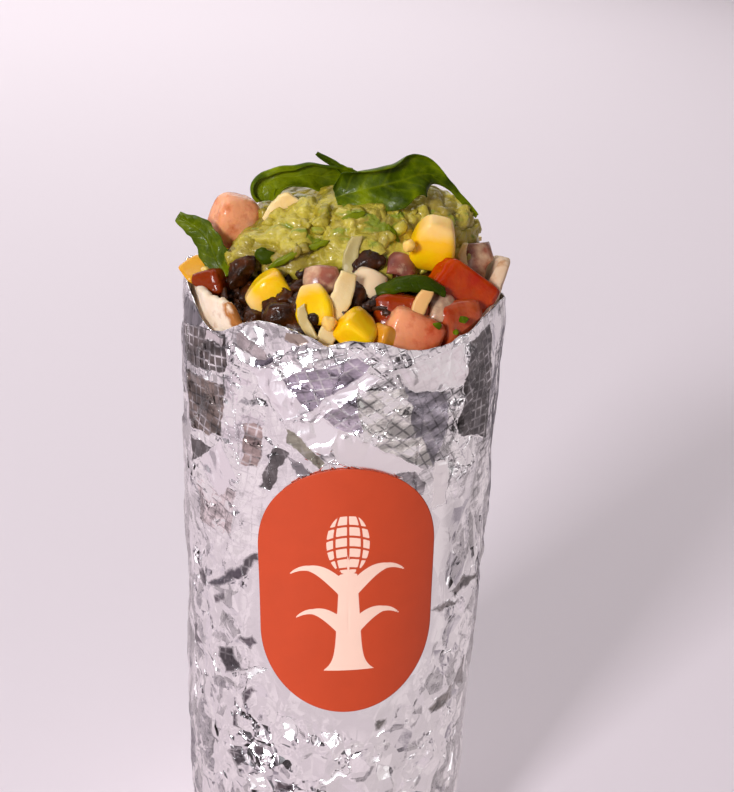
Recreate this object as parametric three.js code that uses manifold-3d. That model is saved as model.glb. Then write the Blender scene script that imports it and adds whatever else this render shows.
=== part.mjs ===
// A foil-wrapped burrito that stands on its folded end, open at the top and heaped with its filling.
// Millimetres, +Z up. The origin is the middle of the flat base, and the label faces -Y.
import * as THREE from "three";
import { mergeVertices } from "three/addons/utils/BufferGeometryUtils.js";
import Module from "manifold-3d";

const wasm = await Module();
wasm.setup();

const TAU = Math.PI * 2;
const DEGREE = Math.PI / 180;
const GAP = 0.3; // clearance left between neighbouring pieces

// The roll
const LABEL_HEIGHT = 88; // middle of the label above the base
const ROLL_RADIUS = 36; // outside of the foil at that height
const TAPER = 0.028; // growth of the radius for each millimetre upwards
const BASE_ROUND = 10; // height of the rounded edge at the folded end
const BASE_INSET = 7.5; // how far that edge rounds in
const RIM_HEIGHT = 152.6; // the foil's rim, where it isn't torn lower

// The layers, from the outside in
const FOIL_WALL = 2.0;
const FOIL_FLOOR = 1.2;
const FAN_MIDDLE = [5, 3]; // where the flat base's triangles meet, off the origin
const TORTILLA_WALL = 2.3;
const TORTILLA_FLOOR = 2.4;

// The label
const LABEL_WIDTH = 41;
const LABEL_LENGTH = 61;
const LABEL_THICKNESS = 0.35;
const LABEL_TURN = 6.5 * DEGREE; // round the roll, from the front
const LABEL_TILT = 2.4 * DEGREE;

// The heap
const HEAP_TOP = 158.5; // where toppings lie in the middle
const HEAP_RADIUS = 32; // where the heap meets the tortilla
const HEAP_FALL = 2.5; // exponent of its fall towards the rim
const CORE_SINK = 2.2; // the bare core's depth under that surface
const HEAP_RINGS = [29.5, 25, 19, 12, 6]; // radii of the core's rings under the toppings

const clamp = (value, low, high) => Math.min(high, Math.max(low, value));
const mix = (a, b, t) => a + (b - a) * t;
const smooth = (low, high, value) => THREE.MathUtils.smoothstep(value, low, high);

// Seeded random numbers from 0 to 1.
function randomFrom(seed) {
  let state = seed >>> 0;
  return () => {
    state = (state + 0x6d2b79f5) >>> 0;
    let t = Math.imul(state ^ (state >>> 15), 1 | state);
    t = (t + Math.imul(t ^ (t >>> 7), 61 | t)) ^ t;
    return ((t ^ (t >>> 14)) >>> 0) / 4294967296;
  };
}

// A bell of height 1 round an angle, all in degrees; it knows that 360 is 0.
function bell(angle, centre, width) {
  const off = THREE.MathUtils.euclideanModulo(angle - centre + 180, 360) - 180;
  return Math.exp(-((off / width) ** 2));
}

// ---- solids and geometry ----

function solidOf(geometry) {
  const bare = new THREE.BufferGeometry();
  bare.setAttribute("position", geometry.getAttribute("position"));
  bare.setIndex(geometry.getIndex());
  const merged = mergeVertices(bare, 1e-3);
  const triVerts = new Uint32Array(merged.index.array);
  const vertProperties = merged.attributes.position.array;
  const solid = new wasm.Manifold(new wasm.Mesh({ numProp: 3, vertProperties, triVerts }));
  if (solid.volume() > 0) return solid;
  for (let i = 0; i < triVerts.length; i += 3) {
    [triVerts[i + 1], triVerts[i + 2]] = [triVerts[i + 2], triVerts[i + 1]];
  }
  return new wasm.Manifold(new wasm.Mesh({ numProp: 3, vertProperties, triVerts }));
}

function geometryOf(solid) {
  const mesh = solid.getMesh();
  const positions = new Float32Array(mesh.numVert * 3);
  for (let i = 0; i < mesh.numVert; i++) {
    const start = i * mesh.numProp;
    positions.set(mesh.vertProperties.subarray(start, start + 3), i * 3);
  }
  const geometry = new THREE.BufferGeometry();
  geometry.setAttribute("position", new THREE.BufferAttribute(positions, 3));
  geometry.setIndex(new THREE.BufferAttribute(mesh.triVerts, 1));
  geometry.computeVertexNormals();
  return geometry;
}

// The largest body of a solid: a cut can leave loose scraps.
function largestBody(solid) {
  const bodies = solid.decompose();
  return bodies.reduce((best, body) => (body.volume() > best.volume() ? body : best));
}

// A closed skin over rings of points, with a pole at each end.
function skinOver(startPole, rings, endPole, flipAt = () => false) {
  const count = rings[0].length;
  const points = [startPole, ...rings.flat(), endPole];
  const last = points.length - 1;
  const at = (ring, i) => 1 + ring * count + (i % count);
  const index = [];
  for (let i = 0; i < count; i++) index.push(0, at(0, i + 1), at(0, i));
  for (let ring = 0; ring < rings.length - 1; ring++) {
    for (let i = 0; i < count; i++) {
      const [a, b] = [at(ring, i), at(ring, i + 1)];
      const [c, d] = [at(ring + 1, i + 1), at(ring + 1, i)];
      if (flipAt(ring, i)) index.push(a, b, d, b, c, d);
      else index.push(a, b, c, a, c, d);
    }
  }
  for (let i = 0; i < count; i++) index.push(last, at(rings.length - 1, i), at(rings.length - 1, i + 1));
  const geometry = new THREE.BufferGeometry();
  geometry.setAttribute("position", new THREE.Float32BufferAttribute(points.flat(), 3));
  geometry.setIndex(index);
  return geometry;
}

// A thin closed sheet: both faces of a grid of points, split alike, joined round the edge.
function sheetOver(columns, rows, pointAt, thickness) {
  const across = columns + 1;
  const top = [];
  const bottom = [];
  const step = 1e-3;
  for (let j = 0; j <= rows; j++) {
    for (let i = 0; i <= columns; i++) {
      const [u, v] = [i / columns, j / rows];
      const [du, dv] = [u < 0.5 ? step : -step, v < 0.5 ? step : -step];
      const here = new THREE.Vector3(...pointAt(u, v));
      const alongU = new THREE.Vector3(...pointAt(u + du, v)).sub(here).multiplyScalar(Math.sign(du));
      const alongV = new THREE.Vector3(...pointAt(u, v + dv)).sub(here).multiplyScalar(Math.sign(dv));
      const normal = alongU.cross(alongV).normalize().multiplyScalar(thickness / 2);
      top.push(here.clone().add(normal).toArray());
      bottom.push(here.clone().sub(normal).toArray());
    }
  }
  const index = [];
  const half = top.length;
  for (let j = 0; j < rows; j++) {
    for (let i = 0; i < columns; i++) {
      const a = j * across + i;
      const [b, c, d] = [a + 1, a + across + 1, a + across];
      index.push(a, b, c, a, c, d);
      index.push(a + half, c + half, b + half, a + half, d + half, c + half);
    }
  }
  const edge = [];
  for (let i = 0; i < columns; i++) edge.push(i);
  for (let j = 0; j < rows; j++) edge.push(j * across + columns);
  for (let i = columns; i > 0; i--) edge.push(rows * across + i);
  for (let j = rows; j > 0; j--) edge.push(j * across);
  edge.forEach((a, n) => {
    const b = edge[(n + 1) % edge.length];
    index.push(a, b + half, b, a, a + half, b + half);
  });
  const geometry = new THREE.BufferGeometry();
  geometry.setAttribute("position", new THREE.Float32BufferAttribute([...top, ...bottom].flat(), 3));
  geometry.setIndex(index);
  return geometry;
}

// ---- forms shared by the layers ----

// Radius of the smooth roll at a height, rounded in at the folded end.
function rollRadius(z) {
  const straight = ROLL_RADIUS + TAPER * (z - LABEL_HEIGHT);
  const down = clamp(1 - z / BASE_ROUND, 0, 1);
  return straight - BASE_INSET * (1 - Math.sqrt(1 - down * down));
}

// Height of the foil's rim round the roll: lowest at the front right, notched where the tortilla shows.
function rimHeight(angle) {
  const waves = 0.7 * Math.sin(3 * angle * DEGREE + 1) + 0.5 * Math.sin(7 * angle * DEGREE);
  const tornFront = 8 * bell(angle, 26, 36);
  const leftNotch = 7 * bell(angle, -42, 13);
  const rightNotch = 3.6 * bell(angle, 100, 15);
  const lipEnd = 1.8 * bell(angle, -4, 6);
  return RIM_HEIGHT + waves - tornFront - leftNotch - rightNotch - lipEnd;
}

// Height of the tortilla's rim: it stands over the foil at the left, at the right and behind.
function tortillaHeight(angle) {
  const tucked = Math.min(rimHeight(angle), 150.5) - 1.6 + 0.6 * Math.sin(5 * angle * DEGREE);
  const left = 6 * bell(angle, -104, 22);
  const right = 9.5 * bell(angle, 90, 18);
  const behind = 4 * bell(angle, 165, 45);
  const flap = smooth(-74, -62, angle) * (1 - smooth(-41, -31, angle));
  return mix(tucked + left + right + behind, 153, flap);
}

function heapHeight(angle, radius) {
  const edge = rimHeight(angle) - 0.5;
  return mix(HEAP_TOP, edge, (radius / HEAP_RADIUS) ** HEAP_FALL);
}

const around = (angle, radius, z) => [radius * Math.sin(angle * DEGREE), -radius * Math.cos(angle * DEGREE), z];

// How far a point of the roll lies inside the label's outline, in millimetres, negative outside.
function insideLabel(angle, z) {
  const across = (angle * DEGREE - LABEL_TURN) * ROLL_RADIUS;
  const up = z - LABEL_HEIGHT;
  const s = across * Math.cos(LABEL_TILT) + up * Math.sin(LABEL_TILT);
  const t = up * Math.cos(LABEL_TILT) - across * Math.sin(LABEL_TILT);
  const endRadius = LABEL_WIDTH / 2;
  const straight = LABEL_LENGTH / 2 - endRadius;
  return endRadius - Math.hypot(s, Math.max(0, Math.abs(t) - straight));
}

// ---- the wrapping ----

const FOIL_COLUMNS = 48;
const FOIL_ROWS = 23;
const INNER_HEIGHTS = [80, 14, 6]; // rings of the smooth inside of the foil and the outside of the tortilla

function foilShell(grow = 0) {
  const random = randomFrom(11);
  const columnAngle = 360 / FOIL_COLUMNS;
  const ringAt = (pointAt) => Array.from({ length: FOIL_COLUMNS }, (_, i) => pointAt(i * columnAngle - 180, i));
  const rings = [ringAt((angle) => around(angle, rollRadius(0) + grow, -grow))];
  for (const z of [1, 3.2, 6.4]) {
    rings.push(ringAt((angle, i) => around(angle, rollRadius(z) + grow + (i % 3 ? 0.2 : -0.6), z)));
  }
  for (let j = 0; j < FOIL_ROWS; j++) {
    rings.push(
      ringAt((column) => {
        const angle = column + 0.5 * columnAngle * (random() - 0.5);
        const share = (j + 0.5 * (random() - 0.5)) / FOIL_ROWS;
        const height = mix(BASE_ROUND, rimHeight(angle), share);
        const clear = smooth(3, 8, -insideLabel(angle, height));
        const crease = mix(1.0, 0.8, share) * (random() * 2 - 1);
        return around(angle, rollRadius(height) + crease * clear + grow, height);
      }),
    );
  }
  const rim = (angle) => rimHeight(angle) + grow;
  const inside = (z) => rollRadius(z) - FOIL_WALL - grow;
  rings.push(ringAt((angle) => around(angle, rollRadius(rim(angle)) + grow + 0.4 * random(), rim(angle))));
  rings.push(ringAt((angle) => around(angle, inside(rim(angle)), rim(angle))));
  for (const z of INNER_HEIGHTS) rings.push(ringAt((angle) => around(angle, inside(z), z)));
  rings.push(ringAt((angle) => around(angle, inside(FOIL_FLOOR), FOIL_FLOOR + grow)));
  const flips = rings.map((ring) => ring.map(() => random() < 0.5));
  return skinOver([...FAN_MIDDLE, -grow], rings, [0, 0, FOIL_FLOOR + grow], (ring, i) => flips[ring][i]);
}

const TORTILLA_COLUMNS = 36;

function tortillaShell(grow = 0) {
  const outside = (z) => rollRadius(z) - FOIL_WALL - GAP;
  const columnAngle = 360 / TORTILLA_COLUMNS;
  const floor = FOIL_FLOOR + GAP;
  const inner = floor + TORTILLA_FLOOR;
  const ringAt = (radiusAt, heightAt) =>
    Array.from({ length: TORTILLA_COLUMNS }, (_, i) => {
      const angle = i * columnAngle - 180;
      const height = heightAt(angle);
      return around(angle, radiusAt(height, angle), height);
    });
  // The free edge flares where it stands over the foil, most at the right, and its lip is rounded.
  const flare = (height, angle) => (0.1 + 0.28 * bell(angle, 92, 20)) * Math.max(0, height - rimHeight(angle) - 1);
  const outer = (z, angle) => outside(z) + flare(z, angle) + grow;
  const insideWall = (z, angle) => outside(z) - TORTILLA_WALL + flare(z, angle) - grow;
  const edgeFoot = (angle) => Math.min(rimHeight(angle) + 0.5, tortillaHeight(angle) - 1.6);
  const rings = [
    ringAt((z) => outside(z) - GAP + grow, () => floor - grow),
    ...[...INNER_HEIGHTS].reverse().map((z) => ringAt(outer, () => z)),
    ringAt(outer, edgeFoot),
    ringAt(outer, (a) => tortillaHeight(a) - 0.8),
    ringAt((z, a) => outer(z, a) - 0.7, (a) => tortillaHeight(a) + grow),
    ringAt((z, a) => insideWall(z, a) + 0.6, (a) => tortillaHeight(a) + grow),
    ringAt(insideWall, (a) => tortillaHeight(a) - 0.9),
    ringAt(insideWall, edgeFoot),
    ringAt(insideWall, () => 80),
    ringAt(insideWall, () => 14),
    ringAt((z) => outside(z) - TORTILLA_WALL - grow, () => inner + grow),
  ];
  return skinOver([0, 0, floor - grow], rings, [0, 0, inner + grow]);
}

function labelSheet() {
  const endRadius = LABEL_WIDTH / 2;
  const straight = LABEL_LENGTH / 2 - endRadius;
  const mid = GAP + LABEL_THICKNESS / 2;
  return sheetOver(6, 10, (u, v) => {
    const lift = -Math.cos(Math.PI * v); // rows crowd towards the round ends
    const t = (LABEL_LENGTH / 2) * clamp(lift, -0.9985, 0.9985);
    const beyond = Math.max(0, Math.abs(t) - straight);
    const half = Math.sqrt(Math.max(0, endRadius ** 2 - beyond ** 2));
    const s = (u * 2 - 1) * half;
    const across = s * Math.cos(LABEL_TILT) - t * Math.sin(LABEL_TILT);
    const z = LABEL_HEIGHT + s * Math.sin(LABEL_TILT) + t * Math.cos(LABEL_TILT);
    const angle = (across / ROLL_RADIUS + LABEL_TURN) / DEGREE;
    return around(angle, rollRadius(z) + mid, z);
  }, LABEL_THICKNESS);
}

// ---- the filling ----

const CORE_COLUMNS = 28;

// The bare core: fills the tortilla and domes up under the toppings.
function coreSolid(grow = 0) {
  const wall = (z) => rollRadius(z) - FOIL_WALL - TORTILLA_WALL - 2 * GAP;
  const floor = FOIL_FLOOR + TORTILLA_FLOOR + 2 * GAP;
  const ringAt = (radiusAt, heightAt) =>
    Array.from({ length: CORE_COLUMNS }, (_, i) => {
      const angle = (i * 360) / CORE_COLUMNS - 180;
      const height = heightAt(angle);
      return around(angle, radiusAt(height), height);
    });
  const top = (radius) => (angle) => heapHeight(angle, radius) - CORE_SINK + grow;
  const rings = [
    ringAt((z) => wall(z), () => floor),
    ringAt((z) => wall(z), () => 14),
    ringAt((z) => wall(z), () => 80),
    ringAt((z) => wall(z), top(HEAP_RADIUS)),
    ...HEAP_RINGS.map((radius) => ringAt(() => radius, top(radius))),
  ];
  return skinOver([0, 0, floor], rings, [0, 0, HEAP_TOP - CORE_SINK + grow]);
}

// A round-ended body with its own outline: radius share and squareness along its axis.
function roundBody(size, grow, columns, rows, shareAt, squareness) {
  const half = size.map((s) => s / 2 + grow);
  const corner = (c) => Math.sign(c) * Math.abs(c) ** squareness;
  const rings = [];
  for (let j = 1; j < rows; j++) {
    const down = Math.PI * (j / rows - 0.5);
    const z = Math.sin(down);
    const share = Math.cos(down) ** 0.7 * shareAt(z);
    rings.push(
      Array.from({ length: columns }, (_, i) => {
        const turn = (TAU * i) / columns;
        return [half[0] * share * corner(Math.cos(turn)), half[1] * share * corner(Math.sin(turn)), half[2] * z];
      }),
    );
  }
  return skinOver([0, 0, -half[2]], rings, [0, 0, half[2]]);
}

// A corn kernel: its crown is at +Z, and it narrows to the cut tip at -Z.
const kernelForm = ({ size }, grow) =>
  roundBody(size, grow, 8, 5, (z) => mix(0.55, 1, smooth(-1.1, 0.3, z)), 0.6);

const beanForm = ({ size }, grow) => roundBody(size, grow, 6, 5, () => 1, 0.95);

// A diced piece: a box with its corners pulled in, its faces crowned and every point a little off true.
function diceForm({ size, seed }, grow) {
  const random = randomFrom(seed);
  const box = new THREE.BoxGeometry(1, 1, 1, 2, 2, 2);
  box.deleteAttribute("normal");
  box.deleteAttribute("uv");
  const merged = mergeVertices(box, 1e-3);
  const position = merged.attributes.position;
  for (let i = 0; i < position.count; i++) {
    const point = new THREE.Vector3().fromBufferAttribute(position, i);
    const outer = [point.x, point.y, point.z].filter((c) => Math.abs(c) > 0.4).length;
    point.multiplyScalar([1, 1.04, 0.95, 0.84][outer]);
    const draw = () => (random() - 0.5) * 0.13;
    point.add(new THREE.Vector3(draw(), draw(), draw()));
    point.multiply(new THREE.Vector3(...size.map((s) => s + 2 * grow)));
    position.setXYZ(i, point.x, point.y, point.z);
  }
  return merged;
}

// A slice of an onion's layer: a bent slab, its hollow side towards -Z.
function onionForm({ size, bend = 0.35 }, grow) {
  const [width, length, thickness] = size;
  return sheetOver(2, 3, (u, v) => {
    const [s, t] = [u * 2 - 1, v * 2 - 1];
    const narrowed = 1 - 0.22 * (t + 1) * 0.5;
    return [s * (width / 2 + grow) * narrowed, t * (length / 2 + grow), -bend * width * 0.5 * s * s - 0.08 * length * t * t];
  }, thickness + 2 * grow);
}

// A shred of cheese: a strip that bends and twists along its length.
function shredForm({ size, bend = 0.15, twist = 0.5 }, grow) {
  const [width, thickness, length] = size;
  return sheetOver(1, 5, (u, v) => {
    const t = v * 2 - 1;
    const turn = twist * t;
    const s = (u - 0.5) * (width + 2 * grow) * (1 - 0.3 * t * t);
    return [s * Math.cos(turn) + bend * length * t * t, s * Math.sin(turn), t * (length / 2 + grow)];
  }, thickness + 2 * grow);
}

// A leaf, or a torn piece of one: it follows a curve through its points, faces a direction, and is cupped and waved.
function leafForm(piece, grow) {
  const { spine, width, facing, cup = 0.2, wave = 0.1, thickness = 0.8, blunt = 0.25, skew = 1 } = piece;
  const curve = new THREE.CatmullRomCurve3(spine.map((p) => new THREE.Vector3(...p)));
  const front = new THREE.Vector3(...facing);
  return sheetOver(8, 3, (u, v) => {
    const along = clamp(u, 0, 1);
    const tangent = curve.getTangent(along);
    const side = tangent.clone().cross(front).normalize();
    const lift = side.clone().cross(tangent).normalize();
    const s = v * 2 - 1;
    const share = blunt + (1 - blunt) * Math.sin(Math.PI * mix(0.1, 0.93, along ** skew)) ** 0.8;
    const reach = (width / 2) * share;
    const raised = cup * reach * s * s + wave * reach * Math.sin(TAU * 1.6 * along + 2 * s) * s;
    const point = curve.getPoint(along).addScaledVector(tangent, grow * (2 * along - 1));
    return point.addScaledVector(side, s * (reach + grow)).addScaledVector(lift, raised).toArray();
  }, thickness + 2 * grow);
}

// The guacamole: a lumpy mound with two lobes running down at the front left.
const GUACAMOLE = { at: [2.5, 4.5, 157], reach: [27.5, 18.8, 16], columns: 28, rows: 12, lump: 0.06 };

function guacamoleForm(grow = 0) {
  const { at, reach, columns, rows, lump } = GUACAMOLE;
  const random = randomFrom(5);
  const rings = [];
  for (let j = 1; j < rows; j++) {
    const down = Math.PI * (j / rows - 0.5);
    const rise = Math.sin(down);
    rings.push(
      Array.from({ length: columns }, (_, i) => {
        const turn = (360 * i) / columns;
        const waves = 0.05 * Math.sin(3 * turn * DEGREE + 0.6) + 0.04 * Math.sin(5 * turn * DEGREE + 2);
        const lobes = 0.24 * bell(turn, 213, 15) + 0.26 * bell(turn, 243, 13);
        const swell = 1 + waves + lobes * (1 - smooth(0, 0.75, rise)) + lump * (random() * 2 - 1);
        const level = Math.cos(down) ** 0.92 * swell;
        const side = [Math.cos(turn * DEGREE) * level, Math.sin(turn * DEGREE) * level, rise * (1 + 0.5 * waves)];
        return side.map((c, k) => at[k] + c * (reach[k] + grow));
      }),
    );
  }
  return skinOver([at[0], at[1], at[2] - reach[2] - grow], rings, [at[0], at[1], at[2] + reach[2] + grow]);
}

// ---- what lies on the heap ----
// at is a piece's middle; turn is its rotation in degrees about X, Y and Z; size is its own X, Y and Z.

const CORN = [
  { at: [-16.3, -19.8, 153.6], turn: [-20, 62, 10], size: [9.6, 8, 11.4] },
  { at: [-6, -27, 152.4], turn: [150, -14, 0], size: [9.4, 8.2, 11] },
  { at: [3.3, -30, 149], turn: [70, -140, 0], size: [9.8, 8, 11] },
  { at: [19.8, -12.4, 163.5], turn: [-155, 12, 10], size: [11.6, 9, 13] },
  { at: [-33.4, -4.6, 153.6], turn: [30, -30, 20], size: [7.2, 6.6, 9] },
  { at: [9.2, -29.6, 147], turn: [0, 25, 40], size: [7, 6.6, 9.5] },
  { at: [17.5, 25.5, 154.8], turn: [60, 30, 15], size: [9.6, 8, 11] },
  { at: [-15.5, 26, 155], turn: [100, -40, 60], size: [9.2, 7.8, 10.6] },
  { at: [-29.5, 8.5, 156], turn: [-70, 20, 80], size: [9.4, 8, 11] },
  { at: [30.4, 15.5, 155], turn: [20, 80, 10], size: [9, 7.6, 10.4] },
  { at: [3, 28.8, 154], turn: [75, 150, 20], size: [9.4, 8, 10.8] },
];

const TOMATO = [
  { at: [28.2, -9, 153.6], turn: [-18, 34, 14], size: [18.4, 6.8, 9.6], seed: 1 },
  { at: [12.4, -20.4, 151.6], turn: [-12, 4, -4], size: [13.4, 8, 8.6], seed: 2 },
  { at: [15.6, -25.6, 147.2], turn: [-10, 12, 8], size: [13, 9.4, 11.4], seed: 3 },
  { at: [25.6, -19.4, 147.4], turn: [-16, -14, 36], size: [11.6, 9.4, 13], seed: 4 },
  { at: [-26, 1.4, 163.6], turn: [10, 14, 30], size: [11.4, 9.6, 12], seed: 5 },
  { at: [-30.6, -9.6, 152.2], turn: [-10, -22, -24], size: [8.8, 7, 6.8], seed: 6 },
  { at: [9.8, 27, 156], turn: [-14, 20, 40], size: [12, 9, 10], seed: 7 },
  { at: [-23.8, 19.6, 156.6], turn: [16, 10, -30], size: [12, 10, 9], seed: 8 },
  { at: [26, 22, 152], turn: [8, -18, 50], size: [11, 9, 9.6], seed: 9 },
  { at: [-6.4, 29, 152.2], turn: [-20, 30, 12], size: [10, 8, 9], seed: 10 },
];

const ONION = [
  { at: [-4.4, -20.4, 157.4], turn: [58, -6, 4], size: [8.6, 6.6, 2.6] },
  { at: [12.9, -14, 159.4], turn: [40, 20, 30], size: [6.4, 6, 2.2] },
  { at: [32.2, 1, 157.2], turn: [84, 0, 40], size: [8, 11, 1.9], bend: 0.5 },
  { at: [22.8, -21.4, 153.6], turn: [52, 14, 20], size: [6.6, 6.2, 2.4] },
  { at: [6, -18.4, 156], turn: [48, 14, -14], size: [7.4, 5.8, 2.6] },
  { at: [23, 17, 161], turn: [-50, 20, 40], size: [8, 7, 2.2] },
  { at: [-20.5, 13.5, 163.5], turn: [-40, -40, 40], size: [7, 7, 2.4] },
];

const CHEESE = [
  { at: [1.4, -15.8, 160.8], turn: [-20, 10, 0], size: [2.7, 1.2, 10.8], bend: 0.1 },
  { at: [0, -26.6, 154], turn: [-24, 28, 0], size: [4, 1.3, 11.4], bend: -0.08 },
  { at: [-7.8, -32, 149.8], turn: [-14, -32, 0], size: [2.4, 1.2, 6.6] },
  { at: [-3, -32.2, 148], turn: [-14, 24, 0], size: [3.4, 1.2, 5] },
  { at: [17.4, -25.2, 154], turn: [-24, 24, 0], size: [2.7, 1.5, 7.6] },
  { at: [-14.9, -3, 167.6], turn: [10, 46, 10], size: [6, 1.4, 9], bend: 0.04, twist: 0.2 },
  { at: [27.2, -5.6, 161.4], turn: [-6, 6, 40], size: [2, 1.3, 6.4] },
  { at: [15.6, 20, 163.4], turn: [50, 60, 0], size: [2.8, 1.2, 12] },
  { at: [-11.5, 22, 162.8], turn: [50, -50, 0], size: [2.6, 1.2, 12], bend: 0.2 },
  { at: [-28.6, 15.8, 158.4], turn: [70, 10, 60], size: [2.8, 1.2, 10] },
  { at: [30, 9, 160.6], turn: [60, 30, 100], size: [2.6, 1.3, 9] },
];

const LEAVES = [
  // curls over at the top left
  {
    spine: [[-21.4, 2.4, 169.8], [-16, 2, 172.6], [-9.5, 3.4, 174.6], [-1, 5.6, 176.2]],
    width: 9.6,
    facing: [0, -0.85, 0.5],
    wave: 0.14,
    blunt: 0.3,
    skew: 0.7,
  },
  // drapes over the top
  {
    spine: [[-5.4, -6, 172.2], [3, -6.4, 174.4], [12, -3.6, 176.6], [21.6, 2, 176.6], [31, 6.4, 165.2]],
    width: 13,
    facing: [0.1, -0.75, 0.65],
    cup: -0.25,
    wave: 0.14,
    blunt: 0.05,
    skew: 0.62,
  },
  // stands at the left edge
  {
    spine: [[-27.6, -10, 155.4], [-32.4, -7, 161], [-38.6, -3.4, 166]],
    width: 6.6,
    facing: [-0.1, -0.9, 0.3],
    cup: 0.3,
    blunt: 0.12,
    skew: 0.62,
  },
  // a dark green strip of pepper over the tomato
  {
    spine: [[6.4, -21, 156], [14.6, -21.8, 159], [22.4, -20.2, 156.8]],
    width: 4.6,
    facing: [0, -0.6, 0.8],
    cup: -0.3,
    wave: 0.05,
    thickness: 1.8,
    blunt: 0.5,
  },
  // lies over the back
  {
    spine: [[-9, 14, 172], [0, 23, 170], [7.5, 29, 160.5]],
    width: 13,
    facing: [0, 0.6, 0.8],
    cup: -0.2,
    wave: 0.15,
  },
];

// Beans of their own on the mound and among the toppings.
const LOOSE_BEANS = [
  { at: [5.2, -15.2, 159.6], turn: [0, 74, 12], size: [5.8, 6.2, 9.6] },
  { at: [-23.6, -13.4, 155.6], turn: [20, 30, 40], size: [6, 6.4, 9.8] },
  { at: [11, 19.6, 166], turn: [10, 80, 50], size: [5.8, 6.2, 9.8] },
];

const FRONT_BEANS = [-44, -31, -18]; // angles of the beans in the row behind the foil's lip
const BEAN_COUNT = 44;
const BEAN_CLEAR = 0.7; // a bean that would lose more of itself than this leaves is left out
const BEAN_SIZE = [6.2, 6.6, 10.5];

// ---- building the pieces ----

const finishes = {
  foil: { color: 0xd9d6da, roughness: 0.22, metalness: 1 },
  tortilla: { color: 0xead9bd, roughness: 0.8, metalness: 0 },
  label: { color: 0xd9502e, roughness: 0.6, metalness: 0 },
  beans: { color: 0x2b1712, roughness: 0.35, metalness: 0 },
  guacamole: { color: 0xa3a544, roughness: 0.4, metalness: 0 },
  corn: { color: 0xf6b90d, roughness: 0.3, metalness: 0 },
  tomato: { color: 0xc9401c, roughness: 0.25, metalness: 0 },
  onion: { color: 0xb98a98, roughness: 0.35, metalness: 0 },
  cheese: { color: 0xf0e0b0, roughness: 0.5, metalness: 0 },
  leaf: { color: 0x3c6a12, roughness: 0.4, metalness: 0 },
};
const materials = Object.fromEntries(
  Object.entries(finishes).map(([name, look]) => [name, new THREE.MeshStandardMaterial(look)]),
);

const burrito = new THREE.Group();
const laid = []; // the grown solid of each piece that later ones keep clear of

function addMesh(name, geometry, material) {
  const mesh = new THREE.Mesh(geometry, material);
  mesh.name = name;
  burrito.add(mesh);
  return mesh;
}

function boxesMeet(a, b) {
  const [p, q] = [a.boundingBox(), b.boundingBox()];
  return [0, 1, 2].every((k) => p.min[k] < q.max[k] && q.min[k] < p.max[k]);
}

const trimmed = (solid, others) =>
  others.filter((other) => boxesMeet(solid, other)).reduce((left, other) => left.subtract(other), solid);

// Makes a piece where it lies, trims it by what is there already, and adds it as a placed mesh.
function lay(name, piece, form, material) {
  const place = new THREE.Object3D();
  if (piece.at) place.position.set(...piece.at);
  if (piece.turn) place.rotation.set(...piece.turn.map((a) => a * DEGREE), "ZYX");
  place.updateMatrix();
  const solidAt = (grow) => solidOf(form(piece, grow).applyMatrix4(place.matrix));
  const solid = largestBody(trimmed(solidAt(0), laid));
  laid.push(solidAt(GAP));
  const geometry = geometryOf(solid).applyMatrix4(place.matrix.clone().invert());
  const mesh = addMesh(name, geometry, material);
  mesh.position.copy(place.position);
  mesh.rotation.copy(place.rotation);
}

function layAll(name, pieces, form, material) {
  pieces.forEach((piece, i) => lay(`${name}_${String(i + 1).padStart(2, "0")}`, piece, form, material));
}

// Beans spread over the heap on a sunflower spiral, each half sunk and cut clear of its neighbours.
function beansOn(core, others) {
  const random = randomFrom(23);
  const golden = 180 * (3 - Math.sqrt(5));
  let heap = core;
  const spots = FRONT_BEANS.map((angle) => [angle, 28.4]);
  for (let i = 0; i < BEAN_COUNT; i++) {
    spots.push([i * golden, 28.4 * Math.sqrt((i + 6) / (BEAN_COUNT + 6))]);
  }
  for (const [angle, radius] of spots) {
    const [x, y] = around(angle, radius, 0);
    const turn = new THREE.Euler(random() * 0.8 - 0.4, random() * 0.8 - 0.4, random() * TAU, "ZYX");
    const share = mix(0.8, 1.05, random());
    const bean = beanForm({ size: BEAN_SIZE.map((s) => s * share) }, 0);
    bean.applyMatrix4(new THREE.Matrix4().makeRotationFromEuler(turn));
    bean.translate(x, y, heapHeight(angle, radius) - 0.6);
    const solid = solidOf(bean);
    const clear = trimmed(solid, others);
    if (clear.volume() > BEAN_CLEAR * solid.volume()) heap = heap.add(clear);
  }
  return largestBody(heap);
}

addMesh("foil_wrap", foilShell(), materials.foil);
addMesh("tortilla", tortillaShell(), materials.tortilla);
addMesh("label", labelSheet(), materials.label);

laid.push(solidOf(foilShell(GAP)), solidOf(tortillaShell(GAP)), solidOf(coreSolid(GAP)));
lay("guacamole", {}, (_, grow) => guacamoleForm(grow), materials.guacamole);
layAll("corn", CORN, kernelForm, materials.corn);
layAll("tomato", TOMATO, diceForm, materials.tomato);
layAll("onion", ONION, onionForm, materials.onion);
layAll("cheese", CHEESE, shredForm, materials.cheese);
layAll("leaf", LEAVES, leafForm, materials.leaf);
layAll("bean", LOOSE_BEANS, beanForm, materials.beans);

const inTheWay = laid.filter((_, i) => i !== 2);
addMesh("filling", geometryOf(beansOn(solidOf(coreSolid()), inTheWay)), materials.beans);

export default burrito;
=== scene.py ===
# A burrito in crumpled foil, open at the top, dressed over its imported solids.
# Lengths in the dictionaries are millimetres and angles are degrees; meshes are made in metres.
import bpy
import math
import numpy as np
from mathutils import Matrix, Vector


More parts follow.
